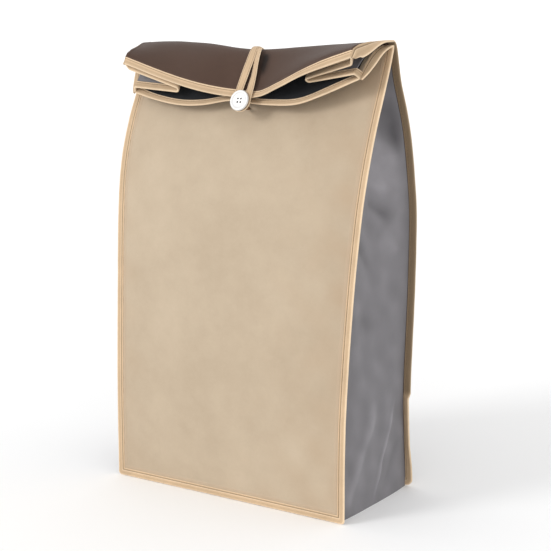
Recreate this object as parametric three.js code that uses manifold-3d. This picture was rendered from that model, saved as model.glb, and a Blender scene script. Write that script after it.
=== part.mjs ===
// Fabric storage bag for potatoes, standing shut with its top folded forward over the front.
//
// Units are millimetres and +Z is up. The front panel faces -Y, and the origin is the middle of
// the base, on the surface that the bag stands on. The cloth is a front panel, a back panel and
// a grey gusset between them, sewn with bound seams that stand out sideways as flat flanges.
// Above the ridge the panels lie forward as two lips, the gusset is tucked in between them at
// both ends, and a tape loop over a button holds the fold down.
import * as THREE from 'three';
import { mergeVertices } from 'three/addons/utils/BufferGeometryUtils.js';
import Module from 'manifold-3d';

const wasm = await Module();
wasm.setup();

// ---------------------------------------------------------------- driving dimensions
const GAP = 0.3;
const CLOTH = 1.2;
const GUSSET_CLOTH = 0.9;
const LINING = 0.5;
const TAPE_WIDTH = 8;
const TAPE_THICK = 2.2;
const RIM_TAPE_WIDTH = 6.3;
const BINDING_CLEAR = TAPE_WIDTH + GAP;
const RIM_CLEAR = RIM_TAPE_WIDTH + 3 * GAP;

// The closed body: height, front and back faces of the filled bag at the seams, half width out
// to the tape's edge, depth of the fold in the gusset, and how far the panels bulge between.
// The back panel spreads a little wider than the front one near the base.
const BODY = [
  [0, -63.5, 65.5, 134.5, -2.2, -0.8],
  [97, -62.9, 61.5, 134.6, -1, 4],
  [202, -56.3, 62.3, 137, 5, 7],
  [277, -48.8, 57, 140, 12, 7],
  [322, -40.3, 46.8, 141.8, 21, 6],
  [362, -26.5, 36, 142.2, 35, 4.5],
  [402, -7.5, 20, 141.5, 52, 2],
];
const SHOULDER = 402;
const BACK_SPREAD = 2;
const SPREAD_TOP = 110;
const TOP_TUCK = 63;
const FOLD_SHARP_FROM = 250;

// The ridge, which the panels turn over: place across, then depth and height of its crest.
const RIDGE = [
  [-134, 1.5, 435.5],
  [-108, -1, 438.6],
  [-70, -3.5, 437.6],
  [0, -9.5, 432.8],
  [70, -3, 437.2],
  [134, 4.5, 442.1],
];
const RIDGE_HALF = 134;
const CREST_GAP = 2.3;

// The free edges of the two lips: place across, then depth and height of the tape's edge.
const BACK_RIM = [
  [-131.2, -46.8, 417],
  [-80, -46.5, 402.3],
  [-42, -46.5, 393.8],
  [-10, -40.2, 389],
  [22, -41, 389.5],
  [50, -47.8, 399.3],
  [80, -52.6, 411.8],
  [131.2, -54, 428.5],
];
const FRONT_RIM = [
  [-128.3, -35.6, 388.8],
  [-100, -37.3, 382.6],
  [-70, -39, 379],
  [-43, -39, 380.1],
  [-12, -36, 385.1],
  [10, -35, 383.3],
  [36, -38.6, 382.8],
  [64, -39.8, 384.7],
  [90, -38, 393.3],
  [128.3, -34.5, 409.5],
];
const RIM_INSET = 2.6;

// Along the cloth above the shoulder: the crest and the end of a lip.
const CREST = 442;
const LIP_END = 502;

// A panel: its place in BODY, its curves over the ridge and at the free edge, and how far its
// bound edge hangs and stands out along the lip, by share of the way from crest to rim. Its
// outer corner hangs past the rim.
const FRONT = {
  sign: -1,
  column: 0,
  spread: 0,
  drop: CLOTH + CREST_GAP,
  shoulderHandle: 16,
  crestHandle: 4,
  lipHandle: [5, 21],
  endHandle: [14, 13],
  tilt: [32, 36],
  rim: FRONT_RIM,
  rimHalf: 128.3,
  droop: [[0, 0], [0.35, 22], [0.6, 26], [1, 10]],
  flange: [[0, 8], [0.35, 8], [0.6, 8], [1, 2.5]],
  overhang: 0,
};
const BACK = {
  sign: 1,
  column: 1,
  spread: BACK_SPREAD,
  drop: CLOTH,
  shoulderHandle: 16,
  crestHandle: 7,
  lipHandle: [15, 24],
  endHandle: [12, 6],
  tilt: [18, 20],
  rim: BACK_RIM,
  rimHalf: 131.2,
  droop: [[0, 0], [0.2, 3], [0.33, 18], [0.45, 42], [0.57, 62], [0.7, 76], [1, 76]],
  flange: [[0, 8], [0.33, 8], [0.45, 9], [0.57, 11], [0.7, 12.5], [1, 6.5]],
  overhang: 6,
};

// The gusset tucked between the lips: inner fold at the crest and at the rim, and the slots
// that it leaves under the back lip and over the front one, for each end.
const TUCK_START = 0.22;
const TUCK_SEAM = 0.975;
const TUCK_RADIUS = [1.0, 2.4];
const TUCK_BOW = 3.6;
const TUCKS = {
  right: { end: 1, crest: [76, -6.5, 435], rim: [76, -33.5, 412], slot: [6.5, 4] },
  left: { end: -1, crest: [-72, -7, 436.4], rim: [-70, -41, 399.5], slot: [3, 4] },
};

// The button on its stem, and the tape loop that hooks round the stem.
const BUTTON_CENTRE = [7, -48.4, 386.6];
const BUTTON_TILT = 20;
const BUTTON_RADIUS = 10;
const BUTTON_THICK = 2.8;
const HOLE_RADIUS = 0.75;
const HOLE_OFFSET = 1.7;
const STEM_RADIUS = 1.5;
const STEM_FOOT = [2, 376.5];
const LOOP_THICK = 1;

// ---------------------------------------------------------------- small helpers
const vec = (x, y, z) => new THREE.Vector3(x, y, z);
const mix = (a, b, t) => a + (b - a) * t;
const radians = THREE.MathUtils.degToRad;
const smooth = (t) => THREE.MathUtils.smoothstep(t, 0, 1);
const range = (count, from = 0, to = 1) =>
  Array.from({ length: count + 1 }, (_, i) => mix(from, to, i / count));

// A smooth curve through rows of [key, value, ...], read at any key.
function through(rows) {
  const slope = (i, c) => {
    const before = rows[Math.max(i - 1, 0)];
    const after = rows[Math.min(i + 1, rows.length - 1)];
    return (after[c] - before[c]) / (after[0] - before[0]);
  };
  return (key) => {
    let i = 0;
    while (i < rows.length - 2 && key > rows[i + 1][0]) i += 1;
    const [from, to] = [rows[i], rows[i + 1]];
    const span = to[0] - from[0];
    const t = (key - from[0]) / span;
    return from.slice(1).map((value, k) => {
      const c = k + 1;
      const rise = t * t * (3 - 2 * t);
      const leave = t * (1 - t) * (1 - t) * span * slope(i, c);
      const arrive = t * t * (t - 1) * span * slope(i + 1, c);
      return mix(value, to[c], rise) + leave + arrive;
    });
  };
}

// A point on the cubic Bezier curve with four control points.
function bezier(p, t) {
  const u = 1 - t;
  return vec(0, 0, 0)
    .addScaledVector(p[0], u * u * u)
    .addScaledVector(p[1], 3 * u * u * t)
    .addScaledVector(p[2], 3 * u * t * t)
    .addScaledVector(p[3], t * t * t);
}

// A closed geometry from points and triangles, with shared vertices merged, empty triangles
// dropped and the faces turned outward.
function closed(points, triangles) {
  const raw = new THREE.BufferGeometry();
  raw.setAttribute('position', new THREE.Float32BufferAttribute(points.flatMap((p) => p.toArray()), 3));
  raw.setIndex(triangles.flat());
  const merged = mergeVertices(raw, 1e-4);
  const index = merged.getIndex().array;
  const position = merged.getAttribute('position');
  const corner = (i) => vec().fromBufferAttribute(position, i);
  const kept = [];
  let volume = 0;
  for (let i = 0; i < index.length; i += 3) {
    const [a, b, c] = [index[i], index[i + 1], index[i + 2]];
    if (a === b || b === c || c === a) continue;
    kept.push([a, b, c]);
    volume += corner(a).dot(corner(b).cross(corner(c)));
  }
  merged.setIndex(kept.flatMap(([a, b, c]) => (volume > 0 ? [a, b, c] : [a, c, b])));
  merged.computeVertexNormals();
  return merged;
}

// A closed solid swept through rings of points: the ends are capped, or the sweep is a loop.
function loft(rings, isLoop = false) {
  const size = rings[0].length;
  const triangles = [];
  const last = isLoop ? rings.length : rings.length - 1;
  for (let i = 0; i < last; i += 1) {
    const next = (i + 1) % rings.length;
    for (let j = 0; j < size; j += 1) {
      const k = (j + 1) % size;
      const [a, b] = [i * size + j, i * size + k];
      const [c, d] = [next * size + k, next * size + j];
      triangles.push([a, b, c], [a, c, d]);
    }
  }
  if (!isLoop) {
    triangles.push(...cap(rings[0], 0, true));
    triangles.push(...cap(rings.at(-1), (rings.length - 1) * size, false));
  }
  return closed(rings.flat(), triangles);
}

// The triangles that fill one ring, in the plane that the ring mostly lies in.
function cap(ring, offset, isFirst) {
  const normal = vec(0, 0, 0);
  ring.forEach((p, i) => normal.add(p.clone().cross(ring[(i + 1) % ring.length])));
  normal.normalize();
  const across = ring[1].clone().sub(ring[0]).cross(normal).normalize();
  const along = normal.clone().cross(across);
  const outline = ring.map((p) => new THREE.Vector2(p.dot(across), p.dot(along)));
  const turn = THREE.ShapeUtils.area(outline) > 0;
  const faces = THREE.ShapeUtils.triangulateShape(outline, []);
  return faces.map(([a, b, c]) => {
    const [p, q] = turn === isFirst ? [c, b] : [b, c];
    return [a + offset, p + offset, q + offset];
  });
}

// A closed sheet between two equal grids of points.
function slab(outer, inner) {
  const rings = outer.map((row, i) => [...row, ...inner[i].slice().reverse()]);
  const size = rings[0].length;
  const half = outer[0].length;
  const triangles = [];
  for (let i = 0; i < rings.length - 1; i += 1) {
    for (let j = 0; j < size; j += 1) {
      const k = (j + 1) % size;
      const [a, b] = [i * size + j, i * size + k];
      const [c, d] = [a + size, b + size];
      triangles.push([a, b, d], [a, d, c]);
    }
  }
  const strip = (start, turn) => {
    for (let j = 0; j < half - 1; j += 1) {
      const [a, b] = [start + j, start + j + 1];
      const [c, d] = [start + size - 1 - j, start + size - 2 - j];
      const faces = turn ? [[a, d, b], [a, c, d]] : [[a, b, d], [a, d, c]];
      triangles.push(...faces);
    }
  };
  strip(0, true);
  strip((rings.length - 1) * size, false);
  return closed(rings.flat(), triangles);
}

// ---------------------------------------------------------------- the two panels
const bodyAt = through(BODY);
const ridgeAt = through(RIDGE);
for (const side of [FRONT, BACK]) {
  side.rimAt = through(side.rim);
  side.droopAt = through(side.droop);
  side.flangeAt = through(side.flange);
}

// The inner face of a panel on the upright body, s from -1 to 1 between the seams.
function bodyPoint(side, s, z) {
  const row = bodyAt(z);
  const bulge = row[4] * (1 - s * s) * side.sign;
  const spread = side.spread * (1 - smooth(z / SPREAD_TOP));
  return vec(s * (row[2] - TAPE_WIDTH + spread), row[side.column] + bulge, z);
}

function crestPoint(side, s) {
  const [y, z] = ridgeAt(s * RIDGE_HALF);
  return vec(s * (RIDGE_HALF - GAP), y, z - side.drop);
}

// The direction up the cloth at the free edge, away from the rim.
function rimUp(side, s) {
  const tilt = radians(mix(side.tilt[0], side.tilt[1], s * s));
  return vec(0, Math.sin(tilt), Math.cos(tilt));
}

function rimEdge(side, s) {
  const x = s * side.rimHalf;
  return vec(x, ...side.rimAt(x));
}

// The inner face of a panel, h along the cloth: height on the body, then over the crest.
function panelPoint(side, s, h) {
  if (h <= SHOULDER) return bodyPoint(side, s, h);
  const crest = crestPoint(side, s);
  if (h <= CREST) {
    const start = bodyPoint(side, s, SHOULDER);
    const rise = start.clone().sub(bodyPoint(side, s, SHOULDER - 1)).normalize();
    const leave = start.clone().addScaledVector(rise, side.shoulderHandle);
    const arrive = crest.clone().add(vec(0, side.crestHandle, 0));
    return bezier([start, leave, arrive, crest], (h - SHOULDER) / (CREST - SHOULDER));
  }
  const up = rimUp(side, s);
  const end = rimEdge(side, s).addScaledVector(up, RIM_CLEAR);
  const leave = crest.clone().add(vec(0, -mix(...side.lipHandle, s * s), 0));
  const arrive = end.clone().addScaledVector(up, mix(...side.endHandle, s * s));
  return bezier([crest, leave, arrive, end], (h - CREST) / (LIP_END - CREST));
}

// The direction out of the bag, square to a panel.
function panelOut(side, s, h) {
  const step = 0.01;
  const low = Math.min(h, LIP_END - step);
  const across = panelPoint(side, s + step, low).sub(panelPoint(side, s - step, low));
  const along = panelPoint(side, s, low + step).sub(panelPoint(side, s, low));
  return across.cross(along).normalize().multiplyScalar(-side.sign);
}

function offsetPoint(side, s, h, out) {
  return panelPoint(side, s, h).addScaledVector(panelOut(side, s, h), out);
}

// Rows along the cloth: wide apart on the body, closer round the crest and on the lip.
const BODY_ROWS = [BINDING_CLEAR, ...range(11, 40, SHOULDER)];
const SHOULDER_ROWS = [410, 418, 426, 432, 437, CREST];
const LIP_ROWS = [442.5, 445, 449, 454, 460, 468, 477, 487, LIP_END];
const ACROSS = range(18, -1, 1);

function panelSheet(side) {
  const rows = [...BODY_ROWS, ...SHOULDER_ROWS, ...LIP_ROWS];
  const face = (out) => rows.map((h) => ACROSS.map((s) => offsetPoint(side, s, h, out)));
  return slab(face(CLOTH), face(0));
}

// The dark lining that shows in the mouth, against the inside of a lip.
function liningSheet(side) {
  const rows = LIP_ROWS.slice(3);
  const columns = [-0.95, ...ACROSS.slice(1, -1), 0.95];
  const behind = 2 * GAP;
  const face = (out) => rows.map((h) => columns.map((s) => offsetPoint(side, s, h, out)));
  return slab(face(-behind - LINING), face(-behind));
}

// ---------------------------------------------------------------- the filled body
// One ring of the body under the panels, whose grey gusset shows at both ends.
function bodyRing(frontAt, backAt, tuck, sharp) {
  const front = ACROSS.map(frontAt);
  const back = ACROSS.map(backAt).reverse();
  const half = front.at(-1).x;
  const gusset = (end) =>
    range(10).slice(1, -1).map((q) => {
      const depth = 1 - Math.abs(2 * q - 1) ** sharp;
      const s = end * (1 - (tuck * depth) / half);
      return frontAt(s).lerp(backAt(s), q);
    });
  return [...front, ...gusset(1), ...back, ...gusset(-1).reverse()];
}

function filledBody() {
  const at = (side, z) => (s) =>
    bodyPoint(side, s, Math.max(z, BINDING_CLEAR)).add(vec(0, -side.sign * GAP, 0)).setZ(z);
  const rings = [0, ...BODY_ROWS].map((z) => {
    const full = mix(3.5, 2, smooth(z / FOLD_SHARP_FROM));
    const sharp = mix(full, 1.1, smooth((z - FOLD_SHARP_FROM) / (SHOULDER - FOLD_SHARP_FROM)));
    return bodyRing(at(FRONT, z), at(BACK, z), bodyAt(z)[3], sharp);
  });
  const over = (side, h) => (s) => offsetPoint(side, s, h, -GAP);
  const shoulder = SHOULDER_ROWS.slice(0, 2).map((h) => {
    const tuck = mix(bodyAt(SHOULDER)[3], TOP_TUCK, (h - SHOULDER) / (CREST - SHOULDER));
    return bodyRing(over(FRONT, h), over(BACK, h), tuck, 1.1);
  });
  return loft([...rings, ...shoulder]);
}

// ---------------------------------------------------------------- the bound seams
// One cross section of a tape: its inner edge, the way it stands out, and its outer face.
function tapeSection(edge, out, face, width = TAPE_WIDTH, thick = TAPE_THICK) {
  const near = edge.clone().addScaledVector(out, GAP);
  const far = near.clone().addScaledVector(out, width);
  return [
    near,
    far,
    far.clone().addScaledVector(face, thick),
    near.clone().addScaledVector(face, thick),
  ];
}

// The tape from a rim corner over the ridge and down one side seam.
function sideSections(side, end) {
  const down = vec(0, 0.15, -1).normalize();
  const section = (edge, face, along, droop, width, overhang = 0) => {
    const angle = radians(droop);
    const out = vec(end * Math.cos(angle), 0, 0).addScaledVector(down, Math.sin(angle));
    out.addScaledVector(along, -out.dot(along)).normalize();
    const square = out.clone().cross(along).multiplyScalar(-end * side.sign).normalize();
    const near = edge.clone().add(vec(end * GAP, 0, 0));
    const far = near.clone().addScaledVector(out, width).addScaledVector(along, overhang);
    return [
      near,
      far,
      far.clone().addScaledVector(square, TAPE_THICK),
      near.clone().addScaledVector(face, TAPE_THICK),
    ];
  };
  const atRow = (h) => {
    const along = panelPoint(side, end, h).sub(panelPoint(side, end, h - 0.1)).normalize();
    const share = (h - CREST) / (LIP_END - CREST);
    const [droop] = side.droopAt(Math.max(share, 0));
    const [width] = side.flangeAt(Math.max(share, 0));
    return section(panelPoint(side, end, h), panelOut(side, end, h), along, droop, width);
  };
  const toEdge = rimUp(side, end).negate();
  const face = panelOut(side, end, LIP_END);
  const [droop] = side.droopAt(1);
  const [width] = side.flangeAt(1);
  const corner = section(rimEdge(side, end), face, toEdge, droop, width, side.overhang);
  return [corner, ...[...BODY_ROWS, ...SHOULDER_ROWS, ...LIP_ROWS].reverse().map(atRow)];
}

function edgeBinding(side) {
  const turn = (end) =>
    range(5).slice(1, -1).map((t) => {
      const angle = (t * Math.PI) / 2;
      const out = vec(end * Math.cos(angle), 0, -Math.sin(angle));
      return tapeSection(panelPoint(side, end, BINDING_CLEAR), out, vec(0, side.sign, 0));
    });
  const bottom = [...ACROSS].reverse().map((s) =>
    tapeSection(panelPoint(side, s, BINDING_CLEAR), vec(0, 0, -1), vec(0, side.sign, 0)));
  return loft([
    ...sideSections(side, 1),
    ...turn(1),
    ...bottom,
    ...turn(-1).reverse(),
    ...sideSections(side, -1).reverse(),
  ]);
}

// ---------------------------------------------------------------- the tucked gusset
// The middle line of the folded gusset, from the back seam in to the fold and out to the front
// seam, at a share of the way from the crest to the rim.
function tuckLine(tuck, share) {
  const h = mix(CREST, LIP_END, share);
  const [back, front] = [BACK, FRONT].map((side) => panelPoint(side, tuck.end * TUCK_SEAM, h));
  const toward = (from, to, slot) =>
    from.clone().addScaledVector(to.clone().sub(from).normalize(), 2.3 + slot * share * share);
  const upper = toward(back, front, tuck.slot[0]);
  const lower = toward(front, back, tuck.slot[1]);
  const fold = vec(...tuck.crest).lerp(vec(...tuck.rim), share);
  fold.z += TUCK_BOW * 4 * share * (1 - share);
  const radius = mix(...TUCK_RADIUS, share);
  const tilt = upper.clone().sub(lower).normalize();
  const arc = range(6, 0, Math.PI).map((angle) =>
    fold.clone()
      .addScaledVector(tilt, Math.cos(angle) * radius)
      .add(vec(-tuck.end * Math.sin(angle) * radius, 0, 0)));
  const steps = range(6).slice(0, -1);
  return [
    ...steps.map((t) => upper.clone().lerp(arc[0], t)),
    ...arc,
    ...steps.map((t) => lower.clone().lerp(arc.at(-1), t)).reverse(),
  ];
}

// The directions up the tucked cloth, all along its free edge.
function tuckUps(tuck) {
  const edge = tuckLine(tuck, 1);
  return tuckLine(tuck, 0.9).map((point, i) => point.sub(edge[i]).normalize());
}

// The two sides of a strip that follows a line of points, mitred at its corners. Each point has
// its own direction up the strip.
function mitred(line, ups, thick, isLoop) {
  const count = line.length;
  const square = (i, j) => {
    const along = line[j].clone().sub(line[i]);
    return ups[i].clone().cross(along).normalize();
  };
  return line.map((point, i) => {
    const before = isLoop || i > 0 ? square((i + count - 1) % count, i) : square(i, i + 1);
    const after = isLoop || i < count - 1 ? square(i, (i + 1) % count) : before;
    const corner = before.clone().add(after).divideScalar(Math.max(1 + before.dot(after), 0.4));
    return [
      point.clone().addScaledVector(corner, thick / 2),
      point.clone().addScaledVector(corner, -thick / 2),
    ];
  });
}

function tuckSheet(tuck) {
  const ups = tuckUps(tuck);
  const rows = range(6, TUCK_START, 0.985).map((share) =>
    mitred(tuckLine(tuck, share), ups, GUSSET_CLOTH, false));
  return slab(rows.map((row) => row.map((pair) => pair[0])), rows.map((row) => row.map((pair) => pair[1])));
}

// ---------------------------------------------------------------- the bound rim
// One tape all round the mouth: back lip, right tuck, front lip, left tuck.
function rimBinding() {
  const line = [];
  const ups = [];
  const lip = (side, from, to) => {
    const inset = 1 - RIM_INSET / side.rimHalf;
    for (const s of range(ACROSS.length - 1, from * inset, to * inset)) {
      line.push(rimEdge(side, s).addScaledVector(panelOut(side, s, LIP_END), CLOTH / 2));
      ups.push(rimUp(side, s));
    }
  };
  const tucked = (tuck, isReversed) => {
    const up = tuckUps(tuck);
    const points = tuckLine(tuck, 1).map((p, i) => p.addScaledVector(up[i], -RIM_CLEAR));
    line.push(...(isReversed ? points.reverse() : points));
    ups.push(...(isReversed ? up.reverse() : up));
  };
  lip(BACK, -1, 1);
  tucked(TUCKS.right, false);
  lip(FRONT, 1, -1);
  tucked(TUCKS.left, true);
  const sides = mitred(line, ups, TAPE_THICK, true);
  const rings = sides.map(([a, b], i) => [
    a,
    b,
    b.clone().addScaledVector(ups[i], RIM_TAPE_WIDTH),
    a.clone().addScaledVector(ups[i], RIM_TAPE_WIDTH),
  ]);
  return loft(rings, true);
}

// ---------------------------------------------------------------- the button, stem and loop
const buttonFace = vec(0, -Math.cos(radians(BUTTON_TILT)), Math.sin(radians(BUTTON_TILT)));
const buttonRise = vec(0, Math.sin(radians(BUTTON_TILT)), Math.cos(radians(BUTTON_TILT)));

function buttonDisc() {
  const half = BUTTON_THICK / 2;
  const dish = half - 0.7;
  const profile = [
    [0, -half],
    [BUTTON_RADIUS - 1.2, -half],
    [BUTTON_RADIUS, -half + 0.9],
    [BUTTON_RADIUS, half - 0.9],
    [BUTTON_RADIUS - 0.9, half],
    [BUTTON_RADIUS - 2.2, half],
    [BUTTON_RADIUS - 3.2, dish],
    [0, dish],
  ];
  const disc = new THREE.LatheGeometry(profile.map(([r, h]) => new THREE.Vector2(r, h)), 32);
  let solid = manifoldOf(disc);
  for (const x of [-HOLE_OFFSET, HOLE_OFFSET]) {
    for (const z of [-HOLE_OFFSET, HOLE_OFFSET]) {
      const drill = new THREE.CylinderGeometry(HOLE_RADIUS, HOLE_RADIUS, 3 * BUTTON_THICK, 10);
      drill.translate(x, 0, z);
      solid = solid.subtract(manifoldOf(drill));
    }
  }
  const mesh = solid.getMesh();
  const geometry = new THREE.BufferGeometry();
  geometry.setAttribute('position', new THREE.BufferAttribute(mesh.vertProperties, 3));
  geometry.setIndex([...mesh.triVerts]);
  return geometry;
}

function manifoldOf(geometry) {
  const bare = geometry.clone();
  bare.deleteAttribute('normal');
  bare.deleteAttribute('uv');
  const merged = mergeVertices(bare, 1e-4);
  const triVerts = Uint32Array.from(merged.getIndex().array);
  const vertProperties = merged.getAttribute('position').array;
  return new wasm.Manifold(new wasm.Mesh({ numProp: 3, vertProperties, triVerts }));
}

// The short stem from the front panel, under the rims, to the back of the button.
function buttonStem() {
  const centre = vec(...BUTTON_CENTRE);
  const top = centre.clone().addScaledVector(buttonFace, -BUTTON_THICK / 2 - GAP);
  const [across, height] = STEM_FOOT;
  const s = across / (bodyAt(height)[2] - TAPE_WIDTH);
  const foot = offsetPoint(FRONT, s, height, CLOTH + GAP + 0.4);
  const neck = top.clone().addScaledVector(buttonFace, -5);
  const under = foot.clone().add(vec(0.8, -11.5, 1.5));
  const curve = new THREE.CatmullRomCurve3([top, neck, under, foot]);
  const section = new THREE.Shape().absarc(0, 0, STEM_RADIUS, 0, 2 * Math.PI);
  const geometry = new THREE.ExtrudeGeometry(section, {
    extrudePath: curve,
    steps: 12,
    curveSegments: 10,
  });
  geometry.deleteAttribute('normal');
  geometry.deleteAttribute('uv');
  return mergeVertices(geometry, 1e-4);
}

// One strand of the loop on the back lip: place across, share of the lip, lift off the cloth,
// tape width and twist in degrees about its own line.
const LEFT_STRAND = [
  [0.5, -0.75, 2.3, 8, 0],
  [0.5, -0.3, 2.3, 8, 0],
  [0.5, 0, 2.3, 8.4, 0],
  [4.8, 0.2, 2.8, 8.8, 0],
  [6.9, 0.42, 3, 8.8, 0],
  [5.6, 0.68, 3, 8.8, 0],
  [3.4, 0.88, 2.6, 8, 0],
];
const RIGHT_STRAND = [
  [2, -0.75, 0.9, 8, 0],
  [2, -0.3, 0.9, 8, 0],
  [3, 0, 0.9, 8, 0],
  [10.5, 0.2, 2.9, 6.4, -18],
  [15, 0.42, 3.6, 7, -24],
  [17.3, 0.68, 3.6, 7.4, -16],
  [17, 0.88, 3.8, 7.4, 0],
];

function strandSections(rows) {
  const along = (share) => (share < 0 ? mix(CREST, SHOULDER, -share) : mix(CREST, LIP_END, share));
  const read = through(rows.map((row, i) => [i, ...row]));
  const middle = (i) => {
    const [x, share, lift] = read(i);
    return offsetPoint(BACK, x / RIDGE_HALF, along(share), CLOTH + lift);
  };
  return range(3 * (rows.length - 1), 0, rows.length - 1).map((i) => {
    const [x, share, , width, twist] = read(i);
    const near = Math.min(i, rows.length - 1.05);
    const travel = middle(near + 0.05).sub(middle(near)).normalize();
    const face = panelOut(BACK, x / RIDGE_HALF, along(share));
    face.addScaledVector(travel, -face.dot(travel)).normalize();
    face.applyAxisAngle(travel, radians(twist));
    const across = travel.clone().cross(face).normalize();
    return loopSection(middle(i), across, face, width);
  });
}

function loopSection(centre, across, face, width) {
  const corner = (a, b) =>
    centre.clone().addScaledVector(across, (a * width) / 2).addScaledVector(face, (b * LOOP_THICK) / 2);
  return [corner(-1, -1), corner(1, -1), corner(1, 1), corner(-1, 1)];
}

// The tape runs down the left strand, round the stem behind the button, and up the right one.
function closureLoop() {
  const middle = vec(...BUTTON_CENTRE)
    .addScaledVector(buttonFace, -BUTTON_THICK / 2 - GAP - LOOP_THICK / 2 - 1);
  const radius = 6.4;
  const width = 8;
  const sideways = vec(1, 0, 0);
  const bend = range(12, 165, 375).map((degrees) => {
    const angle = radians(degrees);
    const spoke = sideways.clone().multiplyScalar(Math.cos(angle));
    spoke.addScaledVector(buttonRise, Math.sin(angle));
    const centre = middle.clone().addScaledVector(spoke, radius);
    return loopSection(centre, spoke, buttonFace, width);
  });
  return loft([...strandSections(LEFT_STRAND), ...bend, ...strandSections([...RIGHT_STRAND].reverse())]);
}

// ---------------------------------------------------------------- materials and scene
const finish = (color, roughness) => new THREE.MeshStandardMaterial({ color, roughness, metalness: 0 });
const beigeCloth = finish(0xcfbea3, 0.9);
const brownCloth = finish(0x58483f, 0.9);
const greyCloth = finish(0x7d7b7e, 0.9);
const darkLining = finish(0x14181c, 0.85);
const tanTape = finish(0xdec3a0, 0.85);
const whitePlastic = finish(0xf6f5f3, 0.35);
const brownThread = finish(0x7a5638, 0.9);

const bag = new THREE.Group();

function add(name, geometry, material) {
  const mesh = new THREE.Mesh(geometry, material);
  mesh.name = name;
  bag.add(mesh);
  return mesh;
}

add('gusset_body', filledBody(), greyCloth);
add('front_panel', panelSheet(FRONT), beigeCloth);
add('back_panel', panelSheet(BACK), brownCloth);
add('lining_front', liningSheet(FRONT), darkLining);
add('lining_back', liningSheet(BACK), darkLining);
add('gusset_tuck_right', tuckSheet(TUCKS.right), greyCloth);
add('gusset_tuck_left', tuckSheet(TUCKS.left), greyCloth);
add('front_edge_binding', edgeBinding(FRONT), tanTape);
add('back_edge_binding', edgeBinding(BACK), tanTape);
add('rim_binding', rimBinding(), tanTape);
add('closure_loop', closureLoop(), tanTape);
add('button_stem', buttonStem(), brownThread);
const button = add('button', buttonDisc(), whitePlastic);
button.position.set(...BUTTON_CENTRE);
button.rotation.x = radians(180 - BUTTON_TILT);

export default bag;
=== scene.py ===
"""Fabric storage bag for potatoes: cloth, bound seams, stitching, tape loop and button.

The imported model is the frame, in metres. The shapes here repeat its named sizes, which are kept in
millimetres, and add what cloth does: hems, puckers, creases, rounded tape and real stitches.
"""

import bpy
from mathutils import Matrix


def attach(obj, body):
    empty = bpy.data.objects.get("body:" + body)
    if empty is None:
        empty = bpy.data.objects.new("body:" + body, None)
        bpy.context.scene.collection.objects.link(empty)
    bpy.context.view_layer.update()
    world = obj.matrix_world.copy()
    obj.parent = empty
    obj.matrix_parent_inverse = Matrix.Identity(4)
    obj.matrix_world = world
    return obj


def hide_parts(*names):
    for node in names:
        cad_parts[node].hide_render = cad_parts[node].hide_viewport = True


bl_info = {
    "name": "Potato Storage Bag",
    "version": (1, 0, 0),
    "blender": (4, 5, 0),
    "location": "View3D > Sidebar > Bag",
    "description": "Builds the cloth, bound seams, stitching, loop and button of a storage bag",
    "category": "Add Mesh",
}

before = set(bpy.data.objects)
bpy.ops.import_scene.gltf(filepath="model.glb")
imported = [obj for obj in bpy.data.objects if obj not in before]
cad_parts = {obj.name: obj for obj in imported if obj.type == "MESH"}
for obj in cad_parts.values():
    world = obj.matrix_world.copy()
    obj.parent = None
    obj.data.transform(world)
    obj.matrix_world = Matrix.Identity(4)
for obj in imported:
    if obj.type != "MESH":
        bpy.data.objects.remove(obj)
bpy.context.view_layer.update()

import math
import random

import bmesh
import bpy
import numpy as np
from mathutils import Matrix, Vector
from mathutils.geometry import tessellate_polygon

# ---------------------------------------------------------------- the bag's form, in millimetres
# A window is four numbers: where it starts, the length of its rise, where it stops, and the length
# of its fall.
MM = 0.001

# Cloths, the gap that pieces keep, and how much of a panel's width the lining spans.
GAP = 0.3
CLOTH = 1.2
GUSSET_CLOTH = 0.9
LINING = 0.5
LINING_SHARE = 0.965
LINING_RIPPLE = 0.1

# Tapes, and how far they lap onto the cloth's edge.
TAPE_WIDTH = 8
TAPE_THICK = 2.2
RIM_TAPE_WIDTH = 6.3
SEAM_LAP = 0.15
RIM_LAP = 0.25
BINDING_CLEAR = TAPE_WIDTH + GAP
RIM_CLEAR = RIM_TAPE_WIDTH + 3 * GAP
RIM_REACH = RIM_CLEAR + RIM_LAP

# Height, front and back faces at the seams, half width to the tape's edge, fold of the gusset,
# and how far the panels bulge between the seams.
BODY = [
    [0, -63.5, 65.5, 134.5, -2.2, -0.8],
    [97, -62.9, 61.5, 134.6, -1, 4],
    [202, -56.3, 62.3, 137, 5, 7],
    [277, -48.8, 57, 140, 12, 7],
    [322, -40.3, 46.8, 141.8, 21, 6],
    [362, -26.5, 36, 142.2, 35, 4.5],
    [402, -7.5, 20, 141.5, 52, 2],
]
SHOULDER = 402
SPREAD_TOP = 110
TOP_TUCK = 63
FOLD_SHARP_FROM = 250

# The ridge: place across, then depth and height of its crest.
RIDGE = [
    [-134, 1.5, 435.5],
    [-108, -1, 438.6],
    [-70, -3.5, 437.6],
    [0, -9.5, 432.8],
    [70, -3, 437.2],
    [134, 4.5, 442.1],
]
RIDGE_HALF = 134
CREST_GAP = 2.3

# The free edges of the lips: place across, then depth and height of the tape's edge.
BACK_RIM = [
    [-131.2, -46.8, 417],
    [-80, -46.5, 402.3],
    [-42, -46.5, 393.8],
    [-10, -40.2, 389],
    [22, -41, 389.5],
    [50, -47.8, 399.3],
    [80, -52.6, 411.8],
    [131.2, -54, 428.5],
]
FRONT_RIM = [
    [-128.3, -35.6, 388.8],
    [-100, -37.3, 382.6],
    [-70, -39, 379],
    [-43, -39, 380.1],
    [-12, -36, 385.1],
    [10, -35, 383.3],
    [36, -38.6, 382.8],
    [64, -39.8, 384.7],
    [90, -38, 393.3],
    [128.3, -34.5, 409.5],
]
RIM_INSET = 0.3
CREST = 442
LIP_END = 502

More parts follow.
